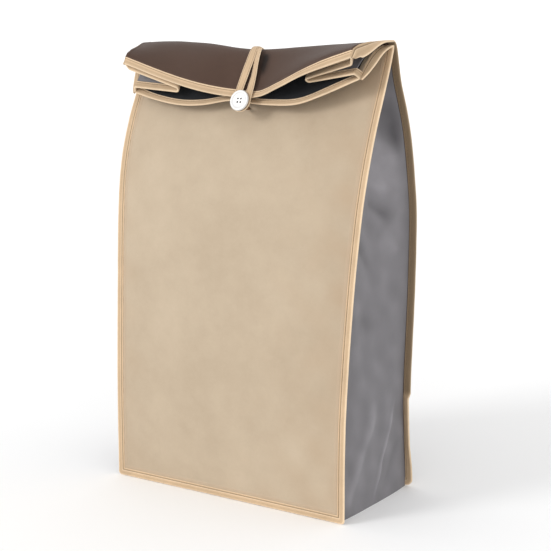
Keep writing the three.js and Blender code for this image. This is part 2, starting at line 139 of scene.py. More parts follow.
# The back panel's left corner at the ridge, where its cloth reaches out over the turned tape:
# how far out and up, where it begins across the panel and its slope, and its window along it.
CORNER_REACH = 5.5
CORNER_RISE = 1.4
CORNER_ACROSS = (0.8, 0.2)
CORNER_ALONG = (408, 28, 446, 22)

# The gusset folded in between the lips: the shares of the lip that it spans, its seam, fold radius,
# bow and lift, then for each side the inner fold's place at the crest and at the rim, and the
# slots beside the lips.
TUCK_START = 0.22
TUCK_STOP = 0.985
TUCK_SEAM = 0.975
TUCK_RADIUS = (1.0, 2.4)
TUCK_BOW = 3.6
TUCK_LIFT = 2.3
TUCKS = {
    "right": (1, (76, -6.5, 435), (76, -33.5, 412), (6.5, 4)),
    "left": (-1, (-72, -7, 436.4), (-70, -41, 399.5), (3, 4)),
}

# The button, its holes, the stem of three twisted plies, and the loop round it.
BUTTON_CENTRE = np.array([7, -48.4, 386.6])
BUTTON_TILT = 20
BUTTON_RADIUS = 10
BUTTON_THICK = 2.8
DISH_SLOPE = 1.9
DISH_DROP = 0.85
HOLE_RADIUS = 0.95
HOLE_OFFSET = 1.7
SHANK_RADIUS = 1.5
SHANK_GROOVE = 0.28
SHANK_PLIES = 3
SHANK_TWIST = 0.55
SHANK_FOOT = (2, 376.5)
LOOP_THICK = 1
LOOP_TAPE_WIDTH = 8.0
LOOP_BEND = 6.4
LOOP_SLACK = 1

# One strand of the loop: place across, share of the lip, lift, tape width and twist in degrees.
LEFT_STRAND = [
    [0.6, -0.75, 2.3, 7, 0],
    [0.8, -0.3, 2.3, 6.2, 0],
    [1, 0, 2.3, 5.8, 0],
    [4.3, 0.2, 2.8, 7.2, 0],
    [6.3, 0.42, 3, 8.2, 0],
    [5.3, 0.68, 3, 8.4, 0],
    [3.4, 0.88, 2.6, 8, 0],
]
RIGHT_STRAND = [
    [2, -0.75, 0.9, 7, 0],
    [2, -0.3, 0.9, 6.2, 0],
    [2.6, 0, 0.9, 5.8, 0],
    [10.4, 0.2, 2.9, 6.3, -18],
    [14.1, 0.42, 3.6, 7.3, -24],
    [16.8, 0.68, 3.6, 7.5, -16],
    [17, 0.88, 3.8, 7.4, 0],
]

# The photograph's camera: place in metres, turn and dip in degrees, lens on a 36 mm sensor.
CAMERA_PLACE = (0.7688, -1.14886, 0.47522)
CAMERA_TURN = 33.2473
CAMERA_DIP = 10.7976
CAMERA_LENS = 93.077
SENSOR = 36

# The radius of a turned mesh at its poles, whose points are joined afterwards.
POLE = 0.001


# ---------------------------------------------------------------- small helpers
def mix(a, b, t):
    return a + (b - a) * t


def smooth(t):
    t = np.clip(t, 0, 1)
    return t * t * (3 - 2 * t)


def window(value, start, rise, stop, fall):
    """1 between two places and 0 outside them, with a soft slope at each."""
    return smooth((value - start) / rise) * (1 - smooth((value - stop) / fall))


def bell(value, width):
    """1 at zero, falling off to both sides."""
    return np.exp(-((value / width) ** 2))


def unit(v):
    return v / np.linalg.norm(v, axis=-1, keepdims=True)


def eased(rows, passes):
    """Rows of numbers, each evened out with its neighbours, with both ends held."""
    for _ in range(passes):
        rows[1:-1] = (rows[:-2] + 2 * rows[1:-1] + rows[2:]) / 4
    return rows


def eased_round(rows, passes):
    """The same for rows that join up into a loop."""
    for _ in range(passes):
        rows = (np.roll(rows, 1, axis=0) + 2 * rows + np.roll(rows, -1, axis=0)) / 4
    return rows


def points(x, y, z):
    """An array of points from broadcast coordinates."""
    return np.stack(np.broadcast_arrays(x, y, z), axis=-1).astype(float)


def through(rows):
    """A smooth curve through rows of [key, value, ...], read at any keys."""
    rows = np.asarray(rows, float)
    keys, values = rows[:, 0], rows[:, 1:]
    number = np.arange(len(keys))
    before, after = np.maximum(number - 1, 0), np.minimum(number + 1, len(keys) - 1)
    slopes = (values[after] - values[before]) / (keys[after] - keys[before])[:, None]

    def read(key):
        key = np.asarray(key, float)
        i = np.clip(np.searchsorted(keys, key) - 1, 0, len(keys) - 2)
        span = (keys[i + 1] - keys[i])[..., None]
        t = (key - keys[i])[..., None] / span
        leave = t * (1 - t) ** 2 * span * slopes[i]
        arrive = t * t * (t - 1) * span * slopes[i + 1]
        return mix(values[i], values[i + 1], t * t * (3 - 2 * t)) + leave + arrive

    return read


def bezier(p, t):
    """Points on the cubic Bezier curves with four arrays of control points."""
    t = t[..., None]
    u = 1 - t
    return p[0] * u**3 + p[1] * 3 * u * u * t + p[2] * 3 * u * t * t + p[3] * t**3


def swells(x, y, length, seed, terms=9):
    """Smooth random relief of about -1 to 1, its swells about one length across."""
    draw = random.Random(seed)
    total = 0
    for _ in range(terms):
        angle = draw.uniform(0, 2 * math.pi)
        wave = 2 * math.pi / (length * draw.uniform(0.7, 1.6))
        phase = draw.uniform(0, 2 * math.pi)
        total = total + np.sin((x * math.cos(angle) + y * math.sin(angle)) * wave + phase)
    return total * 1.5 / terms


def from_edge(inner, outer, step, reach):
    """Distances that start close together at an edge and settle to an even step."""
    near = [0, 0.35, 0.8, 1.4, 2.0, 2.6, 3.1, 3.5, 3.9, 4.4, 5.4, 6.8, 8.6]
    rest = np.arange(near[-1] + step, reach - step * 0.4, step)
    return inner + (outer - inner) * np.concatenate([near, rest, [reach]]) / reach


# ---------------------------------------------------------------- the two panels
body_at = through(BODY)
ridge_at = through(RIDGE)


class Panel:
    """A panel's inner face, s from -1 to 1 between its seams and h along the cloth.

    The sign is -1 for the front. The spread widens the foot, and the drop lowers the crest. The
    handles bend the curves, and the tilt turns the free edge. The droop, flange and narrowing say
    how the tape lies along the lip and the rim.
    """

    def __init__(self, sign, spread, drop, handles, lip_handle, end_handle, tilt, rim,
                 droop, flange, rim_flange, narrowing):
        self.sign = sign
        self.column = 0 if sign < 0 else 1
        self.spread = spread
        self.drop = drop
        self.shoulder_handle, self.crest_handle = handles
        self.lip_handle, self.end_handle, self.tilt = lip_handle, end_handle, tilt
        self.rim_at = through(rim)
        self.rim_half = rim[-1][0]
        self.droop_at, self.flange_at = through(droop), through(flange)
        self.rim_flange = rim_flange
        self.narrow_at = through(narrowing)

    def body_point(self, s, z):
        """The panel below the shoulder, bulging between its seams."""
        row = body_at(z)
        spread = self.spread * (1 - smooth(z / SPREAD_TOP))
        bulge = row[..., 4] * (1 - s * s) * self.sign
        return points(s * (row[..., 2] - TAPE_WIDTH + spread), row[..., self.column] + bulge, z)

    def rim_up(self, s):
        """The way up the cloth at the free edge."""
        tilt = np.radians(mix(*self.tilt, s * s))
        return points(0, np.sin(tilt), np.cos(tilt))

    def rim_saving(self, s):
        """How much narrower than its full width the rim tape is here."""
        return self.narrow_at(s)[..., 0]

    def rim_edge(self, s):
        """The outer edge of the rim tape."""
        across = s * self.rim_half
        place = self.rim_at(across)
        return points(across, place[..., 0], place[..., 1])

    def point(self, s, h):
        """A place on the panel's inner face: below the shoulder, up to the crest, or on the lip."""
        s, h = np.broadcast_arrays(np.asarray(s, float), np.asarray(h, float))
        body = self.body_point(s, np.minimum(h, SHOULDER))
        top = np.full_like(s, SHOULDER)
        start = self.body_point(s, top)
        rise = unit(start - self.body_point(s, top - 1))
        ridge = ridge_at(s * RIDGE_HALF)
        crest = points(s * (RIDGE_HALF - GAP), ridge[..., 0], ridge[..., 1] - self.drop)
        arrive = crest + points(0, self.crest_handle, 0)
        share = np.clip((h - SHOULDER) / (CREST - SHOULDER), 0, 1)
        shoulder = bezier([start, start + rise * self.shoulder_handle, arrive, crest], share)
        up = self.rim_up(s)
        end = self.rim_edge(s) + up * (RIM_CLEAR - self.rim_saving(s))[..., None]
        leave = crest - points(0 * s, mix(*self.lip_handle, s * s), 0)
        close = end + up * mix(*self.end_handle, s * s)[..., None]
        lip = bezier([crest, leave, close, end], np.clip((h - CREST) / (LIP_END - CREST), 0, 1))
        low, middle = (h <= SHOULDER)[..., None], (h <= CREST)[..., None]
        made = np.where(low, body, np.where(middle, shoulder, lip))
        if self.sign > 0:
            begin, slope = CORNER_ACROSS
            corner = smooth((-s - begin) / slope) * window(h, *CORNER_ALONG)
            made = made + points(-CORNER_REACH, 0, CORNER_RISE) * corner[..., None]
        return made

    def out(self, s, h):
        """The direction out of the bag, square to the panel."""
        step = 0.02
        low = np.minimum(np.asarray(h, float), LIP_END - step)
        across = self.point(s + 0.001, low) - self.point(s - 0.001, low)
        along = self.point(s, low + step) - self.point(s, low)
        return unit(np.cross(across, along)) * -self.sign

    def offset(self, s, h, out):
        """A place at a distance out from the panel's inner face."""
        return self.point(s, h) + self.out(s, h) * np.asarray(out)[..., None]


FRONT = Panel(
    sign=-1, spread=0, drop=CLOTH + CREST_GAP,
    handles=(16, 4), lip_handle=(5, 21), end_handle=(14, 13), tilt=(32, 36), rim=FRONT_RIM,
    droop=[(0, 0), (0.35, 22), (0.6, 26), (1, 10)],
    flange=[(0, 8), (0.35, 8.2), (0.6, 9), (0.8, 8.7), (1, 6.6)], rim_flange=2.5,
    narrowing=[(-1, 0), (-0.75, 1.4), (0.55, 1.4), (0.78, 0), (1, 0)])
BACK = Panel(
    sign=1, spread=2, drop=CLOTH,
    handles=(16, 7), lip_handle=(15, 24), end_handle=(12, 6), tilt=(18, 20), rim=BACK_RIM,
    droop=[(0, 0), (0.2, 3), (0.33, 18), (0.45, 42), (0.57, 62), (0.7, 76), (1, 76)],
    flange=[(0, 8), (0.33, 8), (0.45, 9), (0.57, 10.8), (0.7, 11.6), (1, 10.4)], rim_flange=3.4,
    narrowing=[(-1, 0), (0, 0), (0.2, 1.9), (0.55, 1.9), (0.78, 0), (1, 0)])
SIDES = {"front": FRONT, "back": BACK}


# ---------------------------------------------------------------- meshes
def new_piece(name, verts, faces, uvs, material, slot, *nodes):
    """A smooth mesh object that rides on the bag and stands for CAD nodes. Lengths in mm."""
    mesh = bpy.data.meshes.new(name)
    mesh.from_pydata((np.asarray(verts) * MM).tolist(), [], faces)
    if uvs is not None:
        layer = mesh.uv_layers.new(name="cloth")
        corners = np.empty(len(mesh.loops), dtype=np.int32)
        mesh.loops.foreach_get("vertex_index", corners)
        layer.data.foreach_set("uv", (np.asarray(uvs, float)[corners] * MM).ravel())
    mesh.validate()
    mesh.update()
    piece = bpy.data.objects.new(name, mesh)
    bpy.context.scene.collection.objects.link(piece)
    turn_outward(mesh)
    mesh.shade_smooth()
    mesh.set_sharp_from_angle(angle=math.radians(50))
    for look in material if isinstance(material, (list, tuple)) else [material]:
        mesh.materials.append(look)
    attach(piece, "root")
    if nodes:
        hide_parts(*nodes)
    return piece


def turn_outward(mesh):
    """Flips the faces of a closed mesh that was wound inward."""
    corners = np.array([v.co for v in mesh.vertices])
    mesh.calc_loop_triangles()
    triangles = np.array([t.vertices for t in mesh.loop_triangles])
    a, b, c = (corners[triangles[:, i]] for i in range(3))
    if np.einsum("ij,ij->i", a, np.cross(b, c)).sum() < 0:
        mesh.flip_normals()


def mark(piece, name, values):
    """A number at each vertex, which a material reads by name."""
    layer = piece.data.attributes.new(name, "FLOAT", "POINT")
    layer.data.foreach_set("value", np.asarray(values, dtype=np.float32).ravel())


def weave_places(across, along):
    """Places in the weave for both faces of a sheet, whose grids are alike."""
    return np.tile(np.stack([across, along], axis=-1).reshape(-1, 2), (2, 1))


def grid_faces(rows, columns, start=0, is_loop=False):
    """The quads of a grid of vertices, whose columns may join round."""
    i = np.arange(rows - 1)[:, None] * columns
    j = np.arange(columns if is_loop else columns - 1)[None, :]
    k = (j + 1) % columns
    quads = np.stack([i + j, i + k, i + k + columns, i + j + columns], axis=-1)
    return (quads.reshape(-1, 4) + start).tolist()


def sheet(outer, inner):
    """Vertices and faces of a closed sheet between two equal grids of points."""
    rows, columns = outer.shape[:2]
    count = rows * columns
    faces = grid_faces(rows, columns)
    faces += [face[::-1] for face in grid_faces(rows, columns, count)]
    top = [r * columns + c for r, c in border(rows, columns)]
    for a, b in zip(top, top[1:] + top[:1]):
        faces.append([b, a, a + count, b + count])
    return np.concatenate([outer.reshape(-1, 3), inner.reshape(-1, 3)]), faces


def border(rows, columns):
    """The places round the edge of a grid, in order."""
    along = [(0, c) for c in range(columns)]
    along += [(r, columns - 1) for r in range(1, rows)]
    along += [(rows - 1, c) for c in range(columns - 2, -1, -1)]
    return along + [(r, 0) for r in range(rows - 2, 0, -1)]


def tube(rings, is_loop=False):
    """Vertices and faces of a solid swept through rings of points, capped unless it joins up."""
    rings = np.asarray(rings)
    count, size = rings.shape[:2]
    faces = grid_faces(count, size, is_loop=True)
    if is_loop:
        last = (count - 1) * size
        for j in range(size):
            k = (j + 1) % size
            faces.append([last + j, last + k, k, j])
    else:
        faces.append(list(range(size))[::-1])
        faces.append([(count - 1) * size + j for j in range(size)])
    return rings.reshape(-1, 3), faces


def travel(line):
    """How far along a line of points each point lies."""
    steps = np.linalg.norm(np.diff(line, axis=0), axis=1)
    return np.concatenate([[0], np.cumsum(steps)])


def resample(line, step, *others):
    """A line of points at even steps, with other rows of numbers carried along."""
    way = travel(line)
    places = np.linspace(0, way[-1], max(int(way[-1] / step), 2) + 1)
    read = [np.stack([np.interp(places, way, row[:, c]) for c in range(row.shape[1])], axis=1)
            for row in (line, *others)]
    return read[0] if not others else read


# ---------------------------------------------------------------- the panels' cloth
# Relief of the cloth: the hem's window beside the tape, then each kind's height, length and how
# far from the tape it fades.
HEM = (0, 0.5, 2.8, 0.9)
PUCKER_HEIGHT, PUCKER_LENGTH, PUCKER_FADE = 0.16, 2.1, 5
SWELL_LENGTH, SWELL_FADE = 95, 45
RIPPLE_HEIGHT, RIPPLE_LENGTH, RIPPLE_FADE = 0.12, 24, 12
INNER_FADE = 20
CREST_WEAR = 9

# The loop's shadow painted dark on the flap beside its right strand: distance, half width, strength and
# window.
SHADOW_BESIDE, SHADOW_WIDTH, SHADOW_STRENGTH = 7.5, 4, 1.4
SHADOW_WINDOW = (0.16, 0.2, 0.5, 0.25)


def edge_distance(s, h):
    """How far a place on a panel is from the nearest bound edge."""
    side = (1 - np.abs(s)) * (body_at(np.minimum(h, SHOULDER))[..., 2] - TAPE_WIDTH)
    return np.minimum(np.minimum(side, h - BINDING_CLEAR), LIP_END - h)


def hem_share(away):
    """Where the folded hem lies under a panel's edge, by distance from the tape."""
    return window(away, *HEM)


def panel_relief(s, h, seed, sizes):
    """The cloth's own relief: the hem beside the tape, puckers along it and slow swells."""
    across = s * RIDGE_HALF
    away = edge_distance(s, h)
    hem = sizes.hem_height * hem_share(away)
    way = np.where((1 - np.abs(s)) * RIDGE_HALF < h - BINDING_CLEAR, h, across)
    beat = way / PUCKER_LENGTH + 2 * swells(way, 0 * way, 60, seed)
    pucker = PUCKER_HEIGHT * np.sin(beat) * np.exp(-away / PUCKER_FADE)
    swell = sizes.swell * swells(across, h, SWELL_LENGTH, seed + 1) * smooth(away / SWELL_FADE)
    ripple = RIPPLE_HEIGHT * swells(across, h, RIPPLE_LENGTH, seed + 2)
    return hem + pucker + swell + ripple * smooth(away / RIPPLE_FADE)


def painted_panel_shade(panel, across, h, seed):
    """Painted shade on a panel: warm shade near the front's edges, the loop's shadow on the flap."""
    if panel is FRONT:
        # Painted shade with a warm tint of bounced light: most at the right edge, also along the foot and
        # the left edge, mottled.
        low = 0.2 * np.exp(-(h - BINDING_CLEAR) / 20) * (1.1 + across / RIDGE_HALF)
        right = np.exp((across - RIDGE_HALF) / 42)
        left = 0.6 * np.exp(-(RIDGE_HALF + across) / 16)
        return (low + right + left) * (0.6 + 0.6 * swells(across, h, 40, seed))
    # The flap: the right strand's shadow, painted as a dark band beside it.
    share = (h - CREST) / (LIP_END - CREST)
    strand = np.array(RIGHT_STRAND)
    beside = np.interp(share, strand[:, 1], strand[:, 0]) + SHADOW_BESIDE
    return SHADOW_STRENGTH * bell(across - beside, SHADOW_WIDTH) * window(share, *SHADOW_WINDOW)


def build_panel(name, side, material, node, seed, sizes):
    """A panel from its foot over the ridge to the end of its lip."""
    panel = SIDES[side]
    half = from_edge(1, 0, 3.4, RIDGE_HALF)
    s = np.concatenate([-half, half[-2::-1]])
    low = from_edge(BINDING_CLEAR, SHOULDER, 3.6, SHOULDER - BINDING_CLEAR)
    high = from_edge(LIP_END, SHOULDER, 1.8, LIP_END - SHOULDER)[::-1]
    h = np.concatenate([low, high[1:]])
    s, h = np.meshgrid(s, h)
    away, across = edge_distance(s, h), s * RIDGE_HALF
    relief = panel_relief(s, h, seed, sizes)
    outer = panel.offset(s, h, CLOTH + relief)
    inner = panel.offset(s, h, np.minimum(relief, 0) * smooth(away / INNER_FADE))
    verts, faces = sheet(outer, inner)
    places = weave_places(across, h)
    piece = new_piece(name, verts, faces, places, material, side + "_cloth", node)
    stain = np.clip(painted_panel_shade(panel, across, h, seed + 3), 0, 1)
    marks = {"hem": hem_share(away), "wear": bell(h - CREST, CREST_WEAR), "stain": stain}
    for kind, values in marks.items():
        mark(piece, kind, np.tile(values.ravel(), 2))
    return piece


def build_lining(name, side, material, node):
    """The thin dark cloth behind a lip."""
    panel = SIDES[side]
    across = np.linspace(-LINING_SHARE, LINING_SHARE, 90)
    s, h = np.meshgrid(across, np.linspace(CREST + 2, LIP_END - 0.4, 44))
    ripple = LINING_RIPPLE * swells(s * RIDGE_HALF, h, 30, 40 + len(side))
    outer = panel.offset(s, h, -2 * GAP + 0 * s)
    inner = panel.offset(s, h, -2 * GAP - LINING + ripple)
    verts, faces = sheet(outer, inner)
    places = weave_places(s * RIDGE_HALF, h)
    return new_piece(name, verts, faces, places, material, "lining", node)


# ---------------------------------------------------------------- the grey body
# Creases pressed into the gussets: depth and height of both ends, width, height of relief.
CREASES = [
    ((-3, 4), (44, 98), 1.7, 1.7),
    ((-38, 36), (6, 100), 6, 2.2),
    ((-54, 8), (-28, 50), 6, 1.6),
    ((16, 8), (52, 60), 5, -0.9),
    ((14, 392), (44, 330), 9, -3.6),
    ((-2, 296), (38, 272), 5, -1.9),
    ((-30, 262), (2, 228), 6, -1.8),
    ((-6, 318), (34, 300), 6, 1.4),
    ((20, 262), (48, 240), 8, 1.3),
    ((-30, 190), (20, 170), 9, -1.2),
]

# Soft relief of a gusset: height, length and seed of each kind of swell, the fold's sharpness at
# the foot, half way and at the top, the patch of painted light high up, and how near the seams and
# foot it lies flat.
GUSSET_SWELLS = [(1.5, 62, 70), (0.5, 24, 75), (0.16, 8, 78)]
FOLD_SHARPNESS = (3.5, 2, 1.1)
LIT_PATCH_AT, LIT_PATCH_LENGTH, LIT_PATCH_WINDOW = 352, 46, (0.3, 0.3, 0.85, 0.15)
SEAM_HOLD, FOOT_HOLD = 0.06, 5


def crease_relief(y, z):
    """Relief of the pressed creases, and their painted light: highlights on the raised ones, shade in the
    sunken ones.
    """
    total, light, dark = 0 * y, 0 * y, 0 * y
    for a, b, width, height in CREASES:
        a, b = np.array(a, float), np.array(b, float)
        run = b - a
        t = ((y - a[0]) * run[0] + (z - a[1]) * run[1]) / (run @ run)
        near = a + np.clip(t, 0, 1)[..., None] * run
        away = np.hypot(y - near[..., 0], z - near[..., 1])
        ridge = bell(away, width) * window(t, -0.05, 0.3, 0.65, 0.4)
        total = total + height * ridge
        if height > 0:
            light = light + ridge * 1.3 / math.sqrt(width)
        else:
            dark = dark - ridge * height / 3
    return total, light - dark


def gusset_points(front, back, z, tuck, sharp, end, count):
    """A row of gusset points from the front seam to the back one, for one end of the bag, with a number for
    painted highlights (above zero), painted shade (below) and random clouding.
    """
    half = front(1.0)[0]
    q = np.linspace(0, 1, count + 2)[1:-1]
    depth = 1 - np.abs(2 * q - 1) ** sharp
    s = end * (1 - tuck * depth / half)
    made = mix(front(s), back(s), q[:, None])
    place = (made[:, 1], z + 0 * q)
    relief, light = crease_relief(*place)
    hold = smooth(np.minimum(q, 1 - q) / SEAM_HOLD) * smooth(z / FOOT_HOLD)
    for height, length, seed in GUSSET_SWELLS:
        relief = relief + height * swells(*place, length, seed + end)
    made[:, 0] += end * hold * relief
    # Painted shade along the front seam beside the flange, and a painted lit patch high up where the flanges
    # hide the light; the clouding is the cloth's own.
    shaded = 0.55 * np.exp(-q / 0.14) * smooth(z / 60)
    lit_patch = 1.1 * bell(z - LIT_PATCH_AT, LIT_PATCH_LENGTH) * window(q, *LIT_PATCH_WINDOW)
    cloudy = 0.3 * swells(*place, 26, 81 + end)
    return made, light * hold + lit_patch + cloudy - shaded


def body_face(panel, h):
    """The body's face behind a panel at one height, read at places across it."""

    def read(s):
        s = np.asarray(s, float)
        if h > SHOULDER:
            return panel.offset(s, h + 0 * s, -GAP + 0 * s)
        made = panel.body_point(s, np.full_like(s, max(h, BINDING_CLEAR)))
        made[..., 1] -= panel.sign * GAP
        made[..., 2] = h
        return made

    return read


def build_body(name, material, node):
    """The filled body: its faces behind the panels and the gussets folded in at both ends."""
    s = np.linspace(-1, 1, 61)
    above = SHOULDER + np.arange(4, 17, 4)
    rows = np.concatenate([[0], np.linspace(BINDING_CLEAR, SHOULDER, 118), above])
    foot_sharp, middle_sharp, top_sharp = FOLD_SHARPNESS
    rings, marks = [], []
    for h in rows:
        upper = smooth((h - FOLD_SHARP_FROM) / (SHOULDER - FOLD_SHARP_FROM))
        sharp = mix(mix(foot_sharp, middle_sharp, smooth(h / FOLD_SHARP_FROM)), top_sharp, upper)
        rise = max((h - SHOULDER) / (CREST - SHOULDER), 0)
        tuck = mix(body_at(min(h, SHOULDER))[3], TOP_TUCK, rise)
        front, back = body_face(FRONT, h), body_face(BACK, h)
        right, light_right = gusset_points(front, back, h, tuck, sharp, 1, 60)
        left, light_left = gusset_points(front, back, h, tuck, sharp, -1, 60)
        rings.append(np.concatenate([front(s), right, back(s)[::-1], left[::-1]]))
        flat = np.zeros(len(s))
        marks.append(np.concatenate([flat, light_right, flat, light_left[::-1]]))
    rings = np.array(rings)
    count, size = rings.shape[:2]
    faces = grid_faces(count, size, is_loop=True)
    for ring, start in ((rings[0], 0), (rings[-1], (count - 1) * size)):
        outline = [Vector((p[0], p[1], 0)) for p in ring]
        faces += [[start + i for i in corner] for corner in tessellate_polygon([outline])]
    flat = rings.reshape(-1, 3)
    uvs = np.stack([flat[:, 1] + flat[:, 0] * 0.2, flat[:, 2]], axis=-1)
    piece = new_piece(name, flat, faces, uvs, material, "gusset_cloth", node)
    # Above zero: painted highlights and light clouding; below zero: painted shade and dark clouding.
    marks = np.array(marks).ravel()
    mark(piece, "wear", np.clip(marks, 0, 1))
    mark(piece, "stain", np.clip(-marks, 0, 1))
    return piece


# ---------------------------------------------------------------- tape and stitches
# Sections of tape: place across its width and off its inner face, both as shares.
EDGE_SECTION = [
    (0, 0.3), (0.02, 0.6), (0.07, 0.8), (0.16, 0.84), (0.22, 0.76), (0.27, 0.54), (0.32, 0.76),
    (0.4, 0.93), (0.5, 0.99), (0.64, 1), (0.78, 0.98), (0.88, 0.9), (0.955, 0.72), (1, 0.46),
    (0.97, 0.22), (0.9, 0.06), (0.78, 0), (0.5, 0), (0.36, 0.03), (0.31, 0.1), (0.27, 0.22),
    (0.23, 0.1), (0.14, 0.03), (0.05, 0.06),
]
STITCH_AT = 0.27
CORNER_RADIUS = (3.2, 7.5)

# Turns of the back tape in degrees, and their windows along the cloth: forward below its joint on
# the right, and under the left corner of the ridge.
JOINT = 92
KINK, KINK_WINDOW = 26, (4, 45, JOINT, 5)
UNDER, UNDER_WINDOW = 82, (404, 22, 450, 18)
# How fast the painted shade on the back tape's inner face rises above its joint.
SHADE_RISE = 8

# Stations added at the rim corner, and the growing stretch over which the far edge is evened out.
CORNER_STEPS = 8
EVEN_FROM, EVEN_TO, EVEN_PASSES = 20, 44, 60


def turned(out, degrees, toward):
    """Directions turned by degrees toward others."""
    turn = np.radians(degrees)[:, None]
    return unit(out * np.cos(turn) + toward * np.sin(turn))


def side_stations(panel, end):
    """Stations down one side seam: inner edge, way out, width, and faces at both edges."""
    h = np.concatenate([np.linspace(LIP_END, CREST + 1, 42), np.linspace(CREST, SHOULDER, 34)[:-1],
                        np.linspace(SHOULDER, BINDING_CLEAR, 170)])
    edge, face = panel.point(end, h), panel.out(end, h)
    along = unit(edge - panel.point(end, h - 0.1))
    share = np.maximum((h - CREST) / (LIP_END - CREST), 0)
    droop, width = panel.droop_at(share)[:, 0], panel.flange_at(share)[:, 0]
    t = np.linspace(0, 1, CORNER_STEPS + 1)[:-1]
    rim, down = panel.rim_edge(np.float64(end)), -panel.rim_up(np.float64(end))

    def from_corner(first, rows):
        return np.concatenate([first, rows])

    edge = from_corner(mix(rim, edge[0], t[:, None]), edge)
    along = unit(eased(from_corner(np.tile(down, (len(t), 1)), along), 6))
    h, face, droop = (from_corner(np.repeat(row[:1], len(t), axis=0), row) for row in (h, face, droop))
    width = from_corner(mix(panel.rim_flange, width[0], np.sin(t * math.pi / 2)), width)
    sideways, hanging = np.array([end, 0, 0]), unit(np.array([0, 0.15, -1.0]))
    droop = np.radians(droop)[:, None]
    out = np.cos(droop) * sideways + np.sin(droop) * hanging
    out = unit(out - along * (out * along).sum(axis=1, keepdims=True))
    if panel is BACK:
        if end > 0:
            out = turned(out, KINK * window(h, *KINK_WINDOW), points(0, -1, 0))
        else:
            out = turned(out, UNDER * window(h, *UNDER_WINDOW), -face)
    far = edge + out * width[:, None]
    for stop in np.linspace(EVEN_FROM, EVEN_TO, EVEN_PASSES).astype(int):
        far[: stop + 1] = eased(far[: stop + 1], 1)
    out, width = unit(far - edge), np.linalg.norm(far - edge, axis=1)
    square = unit(np.cross(out, along)) * (-end * panel.sign)
    return edge - sideways * SEAM_LAP, out, width, face, square


def corner_reach(angle, radius):
    """How far the tape reaches from the panel's corner, in the plane of its rounded corner."""
    inset = TAPE_WIDTH - radius
    straight = TAPE_WIDTH / np.maximum(np.cos(angle), np.sin(angle))
    middle = inset * (np.cos(angle) + np.sin(angle))
    rounded = middle + np.sqrt(np.maximum(middle**2 - 2 * inset**2 + radius**2, 0))
    is_straight = np.minimum(np.cos(angle), np.sin(angle)) * straight < inset
    return np.where(is_straight, straight, rounded)


def edge_stations(panel):
    """Stations of the tape from one rim corner, down, along the base and up to the other."""
    left = [row[::-1] for row in side_stations(panel, -1)]

    def low(s, out, width):
        """Stations in the panel's flat lower part, at places s across."""
        near = panel.point(s, BINDING_CLEAR + 0 * s) - out * SEAM_LAP
        flat = points(0, panel.sign, 0) + 0 * out
        return near, out, width, flat, flat

    def corner(end, angle):
        out = points(end * np.cos(angle), 0, -np.sin(angle))
        return low(end + 0 * angle, out, corner_reach(angle, CORNER_RADIUS[panel.column]))

    angle = np.linspace(0, math.pi / 2, 19)[1:-1]
    s = np.linspace(1, -1, 120)
    base = low(s, points(0 * s, 0, -1), TAPE_WIDTH + 0 * s)
    pieces = [side_stations(panel, 1), corner(1, angle), base, corner(-1, angle[::-1]), left]
    return [np.concatenate(rows) for rows in zip(*pieces)]


def tape_rings(near, out, width, face, square, section, thick, seed):
    """Rings of a tape's section at its stations, with the small waves of sewn tape."""
    place, lift = np.array(section).T
    way = travel(near)
    wave = 1 + 0.03 * np.sin(way / 2.3 + 2 * swells(way, 0 * way, 45, seed))
    width = width * (1 + 0.012 * swells(way, 0 * way, 30, seed + 1))
    across = place[None, :, None] * width[:, None, None]
    normal = unit(mix(face[:, None, :], square[:, None, :], smooth(place)[None, :, None]))
    raised = lift[None, :, None] * thick * wave[:, None, None]
    return near[:, None, :] + out[:, None, :] * across + normal * raised


def tape_uvs(rings, section):
    """Crosswise and lengthwise places on a tape, for its stripes and its ribs."""
    way = travel(rings[:, 0])
    along = np.broadcast_to(way[:, None], rings.shape[:2])
    across = np.broadcast_to(np.array(section)[:, 0][None, :] * TAPE_WIDTH, rings.shape[:2])
    return np.stack([across, along], axis=-1).reshape(-1, 2)


def stitch_row(line, normal, sizes):
    """Small round-ended stitches along a line, each a grain of thread lying on the tape."""
    line, normal = resample(line, 0.4, normal)
    way = travel(line)
    verts, faces = [], []
    steps, sides = 5, 6
    pitch = sizes.stitch_pitch

    def read(place, rows):
        return np.array([np.interp(place, way, rows[:, c]) for c in range(3)])

    for start in np.arange(pitch * 0.5, way[-1] - pitch, pitch):
        a, b = read(start, line), read(start + sizes.stitch_length, line)
        up = unit(read(start, normal))
        along = unit(b - a)
        side = np.cross(along, up)
        base = len(verts)
        for i in range(steps):
            t = i / (steps - 1)
            swell = math.sin(math.pi * (0.12 + 0.76 * t)) ** 0.6 * sizes.thread_radius
            lift = math.sin(math.pi * t) * sizes.thread_radius * 0.5
            centre = mix(a, b, t) + up * lift
            for j in range(sides):
                angle = 2 * math.pi * j / sides
                verts.append(centre + (side * math.cos(angle) + up * math.sin(angle)) * swell)
        faces += grid_faces(steps, sides, base, is_loop=True)
        faces.append([base + j for j in range(sides)][::-1])
        faces.append([base + (steps - 1) * sides + j for j in range(sides)])
    return np.array(verts), faces


def join(parts):
    """One list of vertices and faces from several."""
    verts, faces, start = [], [], 0
    for v, f in parts:
        verts.append(v)
        faces += [[i + start for i in face] for face in f]
        start += len(v)
    return np.concatenate(verts), faces


def tape_piece(name, rings, section, material, node, is_loop=False):
    """A tape swept through rings of its section."""
    verts, faces = tube(rings, is_loop)
    return new_piece(name, verts, faces, tape_uvs(rings, section), material, "tape", node)


def stitch_piece(name, rows, material):
    """All the stitches of a tape as one piece."""
    verts, faces = join(rows)
    return new_piece(name, verts, faces, None, material, "tape")


